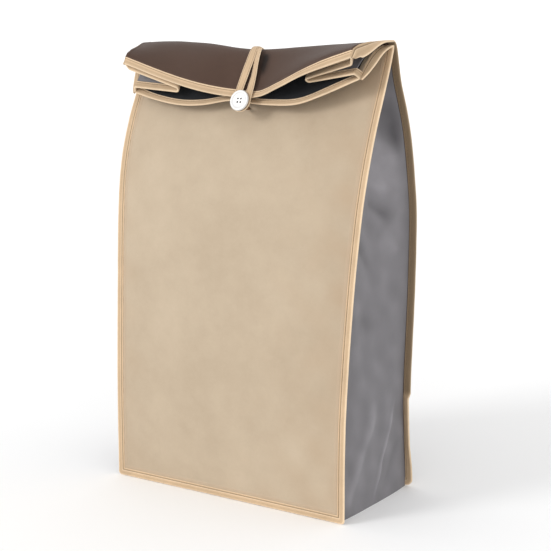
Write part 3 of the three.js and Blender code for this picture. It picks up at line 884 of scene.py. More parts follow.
def build_edge_tape(name, side, material, node, seed):
    """The tape round a panel's seam, with painted shade on the inner face of the back one above its joint.
    """
    rings = tape_rings(*edge_stations(SIDES[side]), EDGE_SECTION, TAPE_THICK, seed)
    piece = tape_piece(name, rings, EDGE_SECTION, material, node)
    if side == "back":
        inner = np.array([lift < 0.3 for _, lift in EDGE_SECTION])
        mark(piece, "stain", smooth((rings[..., 2] - JOINT) / SHADE_RISE) * inner)
    return piece


def build_edge_stitches(name, side, material, sizes, seed):
    """Stitches in the grooves on both faces of that tape."""
    stations = edge_stations(SIDES[side])
    square = stations[-1]
    rings = tape_rings(*stations, EDGE_SECTION, TAPE_THICK, seed)
    grooves = [i for i, (place, _) in enumerate(EDGE_SECTION) if place == STITCH_AT]
    rows = [stitch_row(rings[:, i], way, sizes) for i, way in zip(grooves, (square, -square))]
    return stitch_piece(name, rows, material)


# ---------------------------------------------------------------- the tucked gusset and the rim
def tuck_line(tuck, share, steps=14):
    """The folded gusset's middle line, from the back seam to the fold and out to the front one."""
    end, crest, rim, slots = tuck
    h = mix(CREST, LIP_END, share)
    back, front = (panel.point(end * TUCK_SEAM, h) for panel in (BACK, FRONT))

    def toward(a, b, slot):
        return a + unit(b - a) * (TUCK_LIFT + slot * share * share)

    upper, lower = toward(back, front, slots[0]), toward(front, back, slots[1])
    fold = mix(np.array(crest, float), np.array(rim, float), share)
    fold = fold + np.array([0, 0, TUCK_BOW * 4 * share * (1 - share)])
    radius = mix(*TUCK_RADIUS, share)
    tilt = unit(upper - lower)
    angle = np.linspace(0, math.pi, 11)[:, None]
    arc = fold + tilt * np.cos(angle) * radius - np.array([end, 0, 0]) * np.sin(angle) * radius
    t = np.linspace(0, 1, steps)[:-1, None]
    return np.concatenate([mix(upper, arc[0], t), arc, mix(lower, arc[-1], t)[::-1]])


def build_tuck(name, side, materials, node):
    """The gusset folded in between the lips, grey toward the middle and lined behind."""
    tuck = TUCKS[side]
    shares = np.linspace(TUCK_START, TUCK_STOP, 26)
    grid = np.array([tuck_line(tuck, share) for share in shares])
    normal = unit(np.cross(np.gradient(grid, axis=1), np.gradient(grid, axis=0))) * tuck[0]
    relief = 0.35 * swells(grid[..., 0], grid[..., 2], 16, 90 + tuck[0])[..., None] * normal
    t = np.linspace(0, 1, len(shares))
    grid = grid + relief * (smooth(t * 4) * smooth((1 - t) * 6))[:, None, None]
    verts, faces = sheet(grid + normal * GUSSET_CLOTH / 2, grid - normal * GUSSET_CLOTH / 2)
    half_way = len(shares) // 2
    places = weave_places(*np.meshgrid(travel(grid[half_way]), shares * (LIP_END - CREST)))
    piece = new_piece(name, verts, faces, places, materials, "gusset_cloth", node)
    count = (grid.shape[0] - 1) * (grid.shape[1] - 1)
    middle = Vector(mix(grid[half_way - 1, 0], grid[half_way - 1, -1], 0.5) * MM)
    for polygon in piece.data.polygons:
        if polygon.index < 2 * count:
            is_grey = polygon.normal.dot(middle - polygon.center) > 0
            polygon.material_index = 0 if is_grey else 1
    return piece


# Half of the rim tape's section: place across its width and off its middle, both as shares.
RIM_SECTION = [
    (0, 0), (0.03, 0.55), (0.1, 0.85), (0.22, 0.98), (0.5, 1), (0.68, 0.92), (0.76, 0.66),
    (0.8, 0.6), (0.84, 0.68), (0.92, 0.84), (0.98, 0.84), (1, 0.74),
]
RIM_STITCH = 0.8


def rim_line():
    """The rim's free edge round the mouth, with the way up the cloth and the tape's width."""
    line, ups, widths = [], [], []

    def lip(panel, start, stop):
        inset = 1 - RIM_INSET / panel.rim_half
        s = np.linspace(start, stop, 90) * inset
        line.append(panel.rim_edge(s) + panel.out(s, LIP_END + 0 * s) * CLOTH / 2)
        ups.append(panel.rim_up(s))
        widths.append(RIM_REACH - panel.rim_saving(s))

    def tucked(tuck, is_reversed):
        edge = tuck_line(tuck, 1)
        up = unit(tuck_line(tuck, 0.9) - edge)
        made = edge - up * RIM_CLEAR
        line.append(made[::-1] if is_reversed else made)
        ups.append(up[::-1] if is_reversed else up)
        widths.append(np.full(len(up), RIM_REACH))

    lip(BACK, -1, 1)
    tucked(TUCKS["right"], False)
    lip(FRONT, 1, -1)
    tucked(TUCKS["left"], True)
    rows = [np.concatenate(line), np.concatenate(ups), np.concatenate(widths)[:, None]]
    first, *others = (np.vstack([row, row[:1]]) for row in rows)
    line, ups, widths = (row[:-1] for row in resample(first, 0.8, *others))
    return eased_round(line, 3), unit(eased_round(ups, 8)), widths[:, 0]


def rim_rings():
    """Rings of the rim tape all round the mouth, its section, and the way out of each face."""
    line, ups, widths = rim_line()
    along = unit(np.roll(line, -1, axis=0) - np.roll(line, 1, axis=0))
    square = unit(np.cross(ups, along))
    way = travel(line)
    wave = 1 + 0.04 * np.sin(way / 2.2 + 2 * swells(way, 0 * way, 40, 130))
    section = RIM_SECTION + [(a, -b) for a, b in RIM_SECTION[:0:-1]]
    place, lift = np.array(section).T
    across = ups[:, None, :] * place[None, :, None] * widths[:, None, None]
    raised = square[:, None, :] * lift[None, :, None] * TAPE_THICK / 2 * wave[:, None, None]
    return line[:, None, :] + across + raised, section, square


def build_rim_tape(name, material, node):
    """The tape folded over the mouth's edge."""
    rings, section, _ = rim_rings()
    return tape_piece(name, rings, section, material, node, is_loop=True)


def build_rim_stitches(name, material, sizes):
    """Stitches in the grooves on both faces of the rim tape."""
    rings, section, square = rim_rings()
    rows = []
    for i, (place, lift) in enumerate(section):
        if place == RIM_STITCH:
            line = np.vstack([rings[:, i], rings[:1, i]])
            normal = np.vstack([square, square[:1]]) * (1 if lift > 0 else -1)
            rows.append(stitch_row(line, normal, sizes))
    return stitch_piece(name, rows, material)


# ---------------------------------------------------------------- the loop, button and shank
# The loop tape's section: place across its width and off its inner face, both as shares.
LOOP_SECTION = [
    (0, 0.5), (0.02, 0.85), (0.08, 1), (0.13, 0.72), (0.18, 0.98), (0.35, 1.04), (0.65, 1.04),
    (0.82, 0.98), (0.87, 0.72), (0.92, 1), (0.98, 0.85), (1, 0.5), (0.98, 0.1), (0.9, 0),
    (0.5, 0), (0.1, 0), (0.02, 0.1),
]

LOOP_STITCHES = (0.13, 0.87)

tilt_cos, tilt_sin = math.cos(math.radians(BUTTON_TILT)), math.sin(math.radians(BUTTON_TILT))
button_face = np.array([0, -tilt_cos, tilt_sin])
button_rise = np.array([0, tilt_sin, tilt_cos])


def strand_stations(rows):
    """Stations along one strand: middle, way across, face and width."""
    read = through([[i, *row] for i, row in enumerate(rows)])
    i = np.linspace(0, len(rows) - 1, 30 * (len(rows) - 1) + 1)

    def middle(i):
        x, share, lift = read(i)[..., 0], read(i)[..., 1], read(i)[..., 2]
        h = np.where(share < 0, mix(CREST, SHOULDER, -share), mix(CREST, LIP_END, share))
        return BACK.offset(x / RIDGE_HALF, h, CLOTH + lift), x, h

    centre, x, h = middle(i)
    near = np.minimum(i, len(rows) - 1.05)
    ahead = unit(middle(near + 0.05)[0] - middle(near)[0])
    face = BACK.out(x / RIDGE_HALF, h)
    face = unit(face - ahead * (face * ahead).sum(axis=1, keepdims=True))
    twist = np.radians(read(i)[..., 4])[:, None]
    face = face * np.cos(twist) + np.cross(ahead, face) * np.sin(twist)
    return centre, np.cross(ahead, face), face, read(i)[..., 3]


def loop_stations():
    """Stations down the left strand, round behind the button and up the right strand."""
    behind = BUTTON_THICK / 2 + GAP + LOOP_THICK / 2 + LOOP_SLACK
    middle = BUTTON_CENTRE - button_face * behind
    angle = np.radians(np.linspace(165, 375, 60))[:, None]
    spoke = np.array([1, 0, 0]) * np.cos(angle) + button_rise * np.sin(angle)
    width = np.full(len(angle), LOOP_TAPE_WIDTH)
    bend = (middle + spoke * LOOP_BEND, spoke, button_face + 0 * spoke, width)
    parts = [strand_stations(LEFT_STRAND), bend, strand_stations(RIGHT_STRAND[::-1])]
    centre, across, face, width = (np.concatenate(row) for row in zip(*parts))
    *rows, width = resample(centre, 0.7, across, face, width[:, None])
    centre, across, face = (eased(row, 4) for row in rows)
    return centre, unit(across), unit(face), width


def loop_rings():
    """Rings of the loop's section, and the way out of its face."""
    centre, across, face, width = loop_stations()
    place, lift = np.array(LOOP_SECTION).T - 0.5
    side = place[None, :, None] * width[:, :, None]
    raised = lift[None, :, None] * LOOP_THICK
    return centre[:, None, :] + across[:, None, :] * side + face[:, None, :] * raised, face


def build_loop(name, material, node):
    """The tape loop over the ridge and round the button's stem."""
    rings, _ = loop_rings()
    return tape_piece(name, rings, LOOP_SECTION, material, node)


def build_loop_stitches(name, material, sizes):
    """Stitches along both edges of the loop's outer face."""
    rings, face = loop_rings()
    grooves = [i for i, (place, _) in enumerate(LOOP_SECTION) if place in LOOP_STITCHES]
    return stitch_piece(name, [stitch_row(rings[:, i], face, sizes) for i in grooves], material)


def lathe(profile, sides):
    """Vertices and faces of a profile of radius and height turned about Z."""
    radius, height = np.array(profile).T
    angle = 2 * math.pi * np.arange(sides)[:, None] / sides
    verts = points(radius * np.cos(angle), radius * np.sin(angle), height).reshape(-1, 3)
    size = len(profile)
    faces = []
    for i in range(sides):
        k = (i + 1) % sides
        for j in range(size - 1):
            faces.append([i * size + j, k * size + j, k * size + j + 1, i * size + j + 1])
    return verts, faces


def build_button(name, material, shaded_wall, node):
    """A turned button with a rounded edge, a raised rim and a dished middle with four holes."""
    half = BUTTON_THICK / 2
    profile = [(POLE, -half), (4, -half), (BUTTON_RADIUS - 1.4, -half + 0.05)]
    for angle in np.linspace(-math.pi / 2, math.pi / 2, 13):
        profile.append((BUTTON_RADIUS - 1 + math.cos(angle), math.sin(angle) * half))
    for t in np.linspace(0, 1, 9):
        profile.append((BUTTON_RADIUS - 1.6 - DISH_SLOPE * t, half - DISH_DROP * smooth(t)))
    profile += [(3.4, half - 0.93), (1.6, half - 0.97), (POLE, half - 0.98)]
    verts, faces = lathe(profile, 96)
    piece = new_piece(name, verts, faces, None, material, "button", node)
    close_poles(piece.data)
    drill_holes(piece, shaded_wall)
    turn = Matrix.Rotation(math.radians(90 - BUTTON_TILT), 4, "X")
    piece.data.transform(Matrix.Translation(Vector(BUTTON_CENTRE * MM)) @ turn)
    return piece


def close_poles(mesh):
    """Joins the points of each pole of a turned mesh."""
    edit = bmesh.new()
    edit.from_mesh(mesh)
    bmesh.ops.remove_doubles(edit, verts=edit.verts, dist=0.00001)
    bmesh.ops.recalc_face_normals(edit, faces=edit.faces)
    edit.to_mesh(mesh)
    edit.free()


def turned_object(name, verts, faces):
    """An object of turned meshes, with their poles closed. Lengths in mm."""
    mesh = bpy.data.meshes.new(name)
    mesh.from_pydata((verts * MM).tolist(), [], faces)
    close_poles(mesh)
    made = bpy.data.objects.new(name, mesh)
    bpy.context.scene.collection.objects.link(made)
    return made


def drill_holes(piece, shaded_wall):
    """Cuts the four sewing holes through the button, with painted shade on their walls."""
    flare = [(HOLE_RADIUS * 1.25, 4), (HOLE_RADIUS, 0.2), (HOLE_RADIUS, -4)]
    bit, faces = lathe([(POLE, 4), *flare, (POLE, -4)], 24)
    ends = (-HOLE_OFFSET, HOLE_OFFSET)
    verts, faces = join([(bit + points(x, y, 0), faces) for x in ends for y in ends])
    drill = turned_object("button_drill", verts, faces)
    cut = piece.modifiers.new("holes", "BOOLEAN")
    cut.operation, cut.solver, cut.object = "DIFFERENCE", "EXACT", drill
    shown = piece.evaluated_get(bpy.context.evaluated_depsgraph_get())
    made = bpy.data.meshes.new_from_object(shown)
    piece.modifiers.clear()
    piece.data = made
    bpy.data.objects.remove(drill)
    made.shade_smooth()
    made.set_sharp_from_angle(angle=math.radians(40))
    # The holes' walls take a dark plastic: painted shade in the deep holes.
    made.materials.append(shaded_wall)
    for face in made.polygons:
        x, y, _ = (abs(place) / MM - HOLE_OFFSET for place in face.center)
        if math.hypot(x, y) < HOLE_RADIUS * 1.02 and abs(face.normal.z) < 0.5:
            face.material_index = 1


def build_shank(name, material, node):
    """The stem of wound thread from the front panel to the back of the button."""
    top = BUTTON_CENTRE - button_face * (BUTTON_THICK / 2 + GAP)
    across, height = SHANK_FOOT
    s = np.float64(across / (body_at(height)[2] - TAPE_WIDTH))
    foot = FRONT.offset(s, np.float64(height), CLOTH + GAP + 0.4)
    stops = np.array([top, top - button_face * 5, foot + np.array([0.8, -11.5, 1.5]), foot])
    curve = through([[i, *p] for i, p in enumerate(stops)])
    line = resample(curve(np.linspace(0, 3, 60)), 0.25)
    ahead = unit(np.gradient(line, axis=0))
    side = unit(np.cross(ahead, np.array([1.0, 0, 0])))
    other = np.cross(ahead, side)
    angle = np.linspace(0, 2 * math.pi, 25)[None, :-1, None]
    turns = np.arange(len(line))[:, None, None] * SHANK_TWIST
    strand = 0.5 + 0.5 * np.cos(SHANK_PLIES * (angle - turns))
    radius = SHANK_RADIUS - SHANK_GROOVE + SHANK_GROOVE * strand
    spoke = side[:, None, :] * np.cos(angle) + other[:, None, :] * np.sin(angle)
    verts, faces = tube(line[:, None, :] + spoke * radius)
    return new_piece(name, verts, faces, None, material, "thread", node)


# ---------------------------------------------------------------- materials
class Value:
    """A number socket of a material, on which arithmetic lays down Math nodes."""

    def __init__(self, look, socket):
        self.look, self.socket = look, socket

    def calc(self, operation, *others):
        return self.look.math(operation, self, *others)

    def clamp(self):
        return Value(self.look, self.look.node("ShaderNodeClamp", {}, {0: self}).outputs[0])

    def __add__(self, other):
        return self.look.math("ADD", self, other)

    def __radd__(self, other):
        return self.look.math("ADD", other, self)

    def __sub__(self, other):
        return self.look.math("SUBTRACT", self, other)

    def __rsub__(self, other):
        return self.look.math("SUBTRACT", other, self)

    def __mul__(self, other):
        return self.look.math("MULTIPLY", self, other)

    def __rmul__(self, other):
        return self.look.math("MULTIPLY", other, self)

    def __truediv__(self, other):
        return self.look.math("DIVIDE", self, other)

    def __pow__(self, other):
        return self.look.math("POWER", self, other)


class Look:
    """A procedural material while its nodes are laid down."""

    def __init__(self, name):
        self.material = bpy.data.materials.new(name)
        self.material.use_nodes = True
        self.tree = self.material.node_tree
        self.tree.nodes.clear()

    def node(self, kind, settings, inputs):
        made = self.tree.nodes.new(kind)
        for name, value in settings.items():
            setattr(made, name, value)
        for key, value in inputs.items():
            value = getattr(value, "socket", value)
            if isinstance(value, bpy.types.NodeSocket):
                self.tree.links.new(value, made.inputs[key])
            else:
                made.inputs[key].default_value = value
        return made

    def math(self, operation, *values):
        made = self.node("ShaderNodeMath", {"operation": operation}, dict(enumerate(values)))
        return Value(self, made.outputs[0])

    def number(self, name):
        made = self.node("ShaderNodeAttribute", {"attribute_name": name}, {})
        return Value(self, made.outputs["Fac"])

    def thread_ways(self):
        """Metres across and along the weave or the tape."""
        place = self.node("ShaderNodeUVMap", {"uv_map": "cloth"}, {})
        split = self.node("ShaderNodeSeparateXYZ", {}, {0: place.outputs[0]})
        return Value(self, split.outputs[0]), Value(self, split.outputs[1])

    def wave(self, way, pitch):
        """A sine along a way, its pitch in mm."""
        return (way * (2 * math.pi / (pitch * MM))).calc("SINE")

    def noise(self, scale, detail=2.0, rough=0.5):
        place = self.node("ShaderNodeTexCoord", {}, {})
        inputs = {"Vector": place.outputs["Object"], "Scale": scale, "Detail": detail, "Roughness": rough}
        made = self.node("ShaderNodeTexNoise", {}, inputs)
        return Value(self, made.outputs["Fac"])

    def blend(self, factor, a, b):
        settings = {"data_type": "RGBA"}
        a, b = (x if hasattr(x, "socket") or len(x) == 4 else (*x, 1) for x in (a, b))
        made = self.node("ShaderNodeMix", settings, {0: factor, 6: a, 7: b})
        return Value(self, made.outputs[2])

    def ramp(self, factor, stops):
        """A colour read along stops of (place, colour)."""
        made = self.node("ShaderNodeValToRGB", {}, {0: factor})
        for i, (place, colour) in enumerate(stops):
            stop = made.color_ramp.elements[i] if i < 2 else made.color_ramp.elements.new(place)
            stop.position, stop.color = place, (*colour, 1)
        return Value(self, made.outputs[0])

    def tint(self, colour, factor):
        """A colour times a number that varies."""
        grey = self.node("ShaderNodeCombineColor", {}, {0: factor, 1: factor, 2: factor})
        settings = {"data_type": "RGBA", "blend_type": "MULTIPLY"}
        made = self.node("ShaderNodeMix", settings, {0: 1.0, 6: colour, 7: grey.outputs[0]})
        return Value(self, made.outputs[2])

    def bump(self, height, depth, strength=1.0):
        made = self.node("ShaderNodeBump", {}, {"Strength": strength, "Distance": depth, "Height": height})
        return made.outputs[0]

    def finish(self, colour, rough, normal, sockets):
        """The shader, with what is the same all over set on its own sockets."""
        inputs = {"Base Color": colour, "Roughness": rough, "Normal": normal, **sockets}
        shader = self.node("ShaderNodeBsdfPrincipled", {}, inputs)
        self.node("ShaderNodeOutputMaterial", {}, {"Surface": shader.outputs[0]})
        return self.material


# Lengthwise stripes of a tape: place across it, kind of colour, and how light it is. The pale stripes
# are painted highlights along its folded edges and ridges, the dark ones painted shade in its stitch
# grooves and along its inner edge.
EDGE_STRIPES = [
    (0.0, "tape_line", 1.2), (0.05, "tape_edge", 1.0), (0.12, "tape", 0.95), (0.21, "tape", 0.85),
    (0.27, "tape_line", 0.8), (0.34, "tape_edge", 1.0), (0.43, "tape", 0.98), (0.62, "tape", 0.88),
    (0.82, "tape", 1.0), (0.9, "tape_edge", 1.15), (1.0, "tape_edge", 1.2),
]
RIM_STRIPES = [
    (0.0, "tape_edge", 1.1), (0.1, "tape_edge", 0.9), (0.2, "tape", 0.9), (0.42, "tape", 0.78),
    (0.6, "tape", 1.0), (0.74, "tape", 0.9), (0.8, "tape_line", 1.3), (0.87, "tape_edge", 1.1),
    (1.0, "tape", 0.8),
]
LOOP_STRIPES = [
    (0.0, "tape_edge", 1.0), (0.08, "tape_edge", 1.0), (0.13, "tape_line", 1.4), (0.2, "tape", 1.0),
    (0.5, "tape", 0.86), (0.8, "tape", 1.0), (0.87, "tape_line", 1.4), (0.93, "tape_edge", 1.05),
    (1.0, "tape_edge", 1.0),
]

CLOTH_GLOSS = {"Sheen Weight": 0.12, "Sheen Roughness": 0.45, "Specular IOR Level": 0.25}
TAPE_GLOSS = {"Sheen Weight": 0.15, "Sheen Roughness": 0.4, "Specular IOR Level": 0.25}
THREAD_GLOSS = {"Sheen Weight": 0.1, "Specular IOR Level": 0.3}
PLASTIC_GLOSS = {"Coat Weight": 0.3, "Coat Roughness": 0.2}
RIB_PITCH, TWILL_PITCH = 0.75, 1.1


def shade(colour, factor):
    """A colour made lighter or darker."""
    return tuple(min(1.0, c * factor) for c in colour)


def stripes(colours, rows):
    """Stops of a colour ramp for a tape's stripes."""
    return [(place, shade(getattr(colours, kind), light)) for place, kind, light in rows]


def cloth(name, colour, pitch, mottle, tints=(), warmth=0.0):
    """Plain-woven cloth: over-and-under threads, slow mottling and lint, tinted where marked: hem, wear, and
    painted light and shade.
    """
    look = Look(name)
    across, along = look.thread_ways()
    weave = look.wave(across, pitch) * look.wave(along, pitch) * 0.5 + 0.5
    slow, patch = look.noise(11, 3, 0.55), look.noise(38, 3, 0.6)
    lint, fine = look.noise(420, 3, 0.6), look.noise(95, 2, 0.5)
    tone = (slow - 0.5) * (2.2 * mottle) + (patch - 0.5) * mottle + (lint - 0.5) * 0.08
    tone = tone + (fine - 0.5) * 0.07 + weave * 0.03
    dark = [c * (0.88 - warmth * i) for i, c in enumerate(colour)]
    base = look.blend((tone * 4 + 0.45).clamp(), dark, shade(colour, 1.1))
    for place, weight, tinted in tints:
        base = look.blend((look.number(place) * (patch * 1.2 + 0.4) * weight).clamp(), base, tinted)
    height = weave * 0.6 + lint * 0.4
    normal = look.bump(height, 0.12 * MM, 0.8)
    rough = 0.82 + (lint - 0.5) * 0.12 + (slow - 0.5) * 0.06
    return look.finish(base, rough, normal, CLOTH_GLOSS)


def ribbon(name, colours, rows):
    """Cotton tape: fine cross ribs, lengthwise stripes with painted highlights and groove shade, and painted
    shade where marked.
    """
    look = Look(name)
    across, along = look.thread_ways()
    ribs = look.wave(along, RIB_PITCH) * 0.5 + 0.5
    twill = look.wave(across + along, TWILL_PITCH) * 0.5 + 0.5
    slow, lint = look.noise(38, 3, 0.6), look.noise(600, 2, 0.6)
    tone = (slow - 0.5) * 0.3 + (lint - 0.5) * 0.16 + (twill - 0.5) * 0.05
    base = look.tint(look.ramp(across / (TAPE_WIDTH * MM), stripes(colours, rows)), tone + 0.98)
    # Painted shade on the tape where marked.
    base = look.blend((look.number("stain") * 0.8).clamp(), base, colours.tape_shade)
    height = ribs * 0.35 + twill * 0.35 + lint * 0.5
    normal = look.bump(height, 0.14 * MM, 0.9)
    rough = 0.8 + (lint - 0.5) * 0.14
    return look.finish(base, rough, normal, TAPE_GLOSS)


def thread(name, colour):
    """Twisted sewing thread."""
    look = Look(name)
    slow, fine = look.noise(90, 2, 0.5), look.noise(2600, 2, 0.5)
    base = look.blend(slow, shade(colour, 0.85), shade(colour, 1.12))
    normal = look.bump(fine, 0.1 * MM, 0.8)
    return look.finish(base, 0.7 + (fine - 0.5) * 0.2, normal, THREAD_GLOSS)


def button_plastic(name, colour):
    """Cast white button plastic: faint clouding, soft polish and fine scuffs."""
    look = Look(name)
    cloud, scuff = look.noise(170, 3, 0.5), look.noise(1500, 4, 0.7)
    base = look.blend(cloud, shade(colour, 0.94), shade(colour, 1.04))
    normal = look.bump(scuff, 0.02 * MM, 0.5)
    rough = 0.3 + (scuff - 0.5) * 0.15 + (cloud - 0.5) * 0.08
    return look.finish(base, rough, normal, PLASTIC_GLOSS)


def floor_paint(name, colour):
    """Pale matt studio floor."""
    look = Look(name)
    slow = look.noise(1.5, 2, 0.5)
    base = look.blend(slow, shade(colour, 0.99), shade(colour, 1.01))
    normal = look.bump(slow, 0.1 * MM, 0.2)
    return look.finish(base, 0.9 + (slow - 0.5) * 0.04, normal, {"Specular IOR Level": 0.1})


# ---------------------------------------------------------------- the user's settings
def colour_setting(name, description, default):
    return bpy.props.FloatVectorProperty(
        name=name, description=description, subtype="COLOR", size=3, min=0, max=1, default=default)


class BagSizes(bpy.types.PropertyGroup):
    """Sizes of the cloth's own detail, in millimetres."""

    hem_height: bpy.props.FloatProperty(
        name="Hem height", description="How far the folded hem stands up beside the tape, in mm",
        default=0.3, min=0, max=2)
    swell: bpy.props.FloatProperty(
        name="Swell", description="Depth of the slow swells in the panels, in mm", default=0.9, min=0, max=3)
    weave_pitch: bpy.props.FloatProperty(
        name="Weave pitch", description="Distance between threads that repeat, in mm",
        default=0.9, min=0.3, max=3)
    stitch_pitch: bpy.props.FloatProperty(
        name="Stitch pitch", description="Distance from stitch to stitch, in mm", default=3.3, min=1, max=8)
    stitch_length: bpy.props.FloatProperty(
        name="Stitch length", description="Length of a stitch, in mm", default=2.5, min=0.5, max=7)
    thread_radius: bpy.props.FloatProperty(
        name="Thread radius", description="Radius of the sewing thread, in mm", default=0.26, min=0.1, max=1)


class BagColours(bpy.types.PropertyGroup):
    """Colours of the bag's cloths and fittings, and of the light and shade painted on them."""

    front: colour_setting("Front", "Beige cloth of the front panel", (0.462, 0.377, 0.277))
    back: colour_setting("Back", "Dark brown cloth of the back panel and its lip", (0.066, 0.037, 0.0255))
    gusset: colour_setting("Gusset", "Grey cloth of the sides and base", (0.199, 0.191, 0.202))
    lining: colour_setting("Lining", "Near-black cloth inside the mouth", (0.006, 0.007, 0.009))
    tape: colour_setting("Tape", "Tan binding tape", (0.585, 0.42, 0.265))
    # Painted highlights and groove shade on the tapes.
    tape_edge: colour_setting("Tape highlight", "Painted highlights along the tape's folded edges and ridges", (0.72, 0.555, 0.378))
    tape_line: colour_setting("Tape groove shade", "Painted shade in the tape's stitch grooves and along its inner edge", (0.2, 0.125, 0.065))
    # Painted shade on the back tape's inner face.
    tape_shade: colour_setting("Tape shade", "Painted shade on the back tape's inner face", (0.175, 0.125, 0.075))
    hem: colour_setting("Hem", "Folded hem of the front panel beside the tape", (0.46, 0.345, 0.24))
    # Painted shade, warmed by bounced light, near the front panel's edges.
    warm_edge_shade: colour_setting("Warm edge shade", "Painted shade and warm bounce near the front panel's edges", (0.4, 0.285, 0.185))
    # Painted shade in the button's holes.
    hole: colour_setting("Holes", "Painted shade on the walls of the button's holes", (0.12, 0.1, 0.09))
    stitch: colour_setting("Stitches", "Thread of the visible stitches", (0.3, 0.2, 0.12))
    # The shank's dark brown is painted shade under the button.
    shank: colour_setting("Shank", "Thread that holds the button, dark brown as painted shade under the button", (0.2, 0.1, 0.045))
    button: colour_setting("Button", "White button plastic", (0.7, 0.695, 0.688))
    floor: colour_setting("Floor", "Pale studio floor", (0.94, 0.94, 0.94))


# ---------------------------------------------------------------- operators
def get_look(context, name):
    """A material of the bag, made the first time it is asked for."""
    if name in bpy.data.materials:
        return bpy.data.materials[name]
    colours, sizes = context.scene.bag_colours, context.scene.bag_sizes
    makers = {
        "woven_front": lambda: cloth(
            name, colours.front, sizes.weave_pitch, 0.15,
            # Painted warm shade near the edges, and the hem's own colour.
            [("stain", 0.6, colours.warm_edge_shade), ("hem", 0.5, colours.hem)], 0.03),
        "woven_back": lambda: cloth(
            name, colours.back, sizes.weave_pitch, 0.24,
            [("hem", 0.3, shade(colours.back, 1.4)), ("wear", 0.16, shade(colours.back, 1.6)),
             # Near-black painted shadow of the loop's strand on the flap.
             ("stain", 0.9, shade(colours.back, 0.15))]),
        "woven_gusset": lambda: cloth(
            name, colours.gusset, sizes.weave_pitch * 0.85, 0.12,
            # Painted shade in sunken creases and along the front seam, painted highlights on raised creases
            # and high up, with random clouding.
            [("stain", 0.6, shade(colours.gusset, 0.35)), ("wear", 0.7, shade(colours.gusset, 1.75))]),
        "woven_lining": lambda: cloth(name, colours.lining, sizes.weave_pitch * 0.8, 0.2),
        "edge_tape": lambda: ribbon(name, colours, EDGE_STRIPES),
        "rim_tape": lambda: ribbon(name, colours, RIM_STRIPES),
        "loop_tape": lambda: ribbon(name, colours, LOOP_STRIPES),
        "stitch_thread": lambda: thread(name, colours.stitch),
        # Thread coloured dark brown as painted shade under the button.
        "shank_thread": lambda: thread(name, colours.shank),
        "button_plastic": lambda: button_plastic(name, colours.button),
        # Dark plastic on the holes' walls, as painted shade.
        "hole_walls": lambda: button_plastic(name, colours.hole),
        "studio_floor": lambda: floor_paint(name, colours.floor),
    }
    return makers[name]()


class BAG_OT_body(bpy.types.Operator):
    """Builds the filled grey body with its gussets"""

    bl_idname = "bag.body"
    bl_label = "Body"

    def execute(self, context):
        build_body("filled_body", get_look(context, "woven_gusset"), "gusset_body")
        return {"FINISHED"}


class BAG_OT_panels(bpy.types.Operator):
    """Builds the beige front panel and the brown back panel with their lips"""

    bl_idname = "bag.panels"
    bl_label = "Panels"

    def execute(self, context):
        for side, seed in (("front", 11), ("back", 23)):
            look = get_look(context, "woven_" + side)
            build_panel(side + "_panel_cloth", side, look, side + "_panel", seed, context.scene.bag_sizes)
        return {"FINISHED"}


class BAG_OT_linings(bpy.types.Operator):
    """Builds the dark linings that show in the mouth"""

    bl_idname = "bag.linings"
    bl_label = "Linings"

    def execute(self, context):
        for side in SIDES:
            build_lining(side + "_lining_cloth", side, get_look(context, "woven_lining"), "lining_" + side)
        return {"FINISHED"}


class BAG_OT_tucks(bpy.types.Operator):
    """Builds the gusset folded in between the lips at both ends"""

    bl_idname = "bag.tucks"
    bl_label = "Tucks"

    def execute(self, context):
        looks = [get_look(context, "woven_gusset"), get_look(context, "woven_lining")]
        for side in TUCKS:
            build_tuck(side + "_tuck_cloth", side, looks, "gusset_tuck_" + side)
        return {"FINISHED"}


class BAG_OT_edge_tapes(bpy.types.Operator):
    """Builds the tapes that bind the two panels' seams, with their stitches"""

    bl_idname = "bag.edge_tapes"
    bl_label = "Edge Tapes"

    def execute(self, context):
        for side, seed in (("front", 50), ("back", 60)):
            build_edge_tape(side + "_edge_tape", side, get_look(context, "edge_tape"),
                            side + "_edge_binding", seed)
            build_edge_stitches(side + "_edge_stitches", side, get_look(context, "stitch_thread"),
                                context.scene.bag_sizes, seed)
        return {"FINISHED"}


class BAG_OT_rim_tape(bpy.types.Operator):
    """Builds the tape round the mouth, with its stitches"""

    bl_idname = "bag.rim_tape"
    bl_label = "Rim Tape"

    def execute(self, context):
        build_rim_tape("rim_tape", get_look(context, "rim_tape"), "rim_binding")
        build_rim_stitches("rim_stitches", get_look(context, "stitch_thread"), context.scene.bag_sizes)
        return {"FINISHED"}


class BAG_OT_loop(bpy.types.Operator):
    """Builds the tape loop that holds the fold down"""

    bl_idname = "bag.loop"
    bl_label = "Loop"

    def execute(self, context):
        build_loop("loop_tape", get_look(context, "loop_tape"), "closure_loop")
        build_loop_stitches("loop_stitches", get_look(context, "stitch_thread"), context.scene.bag_sizes)
        return {"FINISHED"}


class BAG_OT_button(bpy.types.Operator):
    """Builds the four-hole button and its thread shank"""

    bl_idname = "bag.button"
    bl_label = "Button"

    def execute(self, context):
        looks = [get_look(context, name) for name in ("button_plastic", "hole_walls")]
        build_button("sewn_button", *looks, "button")
        build_shank("button_shank", get_look(context, "shank_thread"), "button_stem")
        return {"FINISHED"}


class BAG_OT_stage(bpy.types.Operator):
    """Sets out the pale floor, the soft light and the camera"""

    bl_idname = "bag.stage"
    bl_label = "Stage"

    def execute(self, context):
        build_floor(get_look(context, "studio_floor"))
        build_light(context)
        build_camera(context)
        return {"FINISHED"}


# ---------------------------------------------------------------- the stage
FLOOR_FLAT = 5600
FLOOR_BEND_FROM = 6000
FLOOR_BEND = 700
SKY_STRENGTH = 0.93

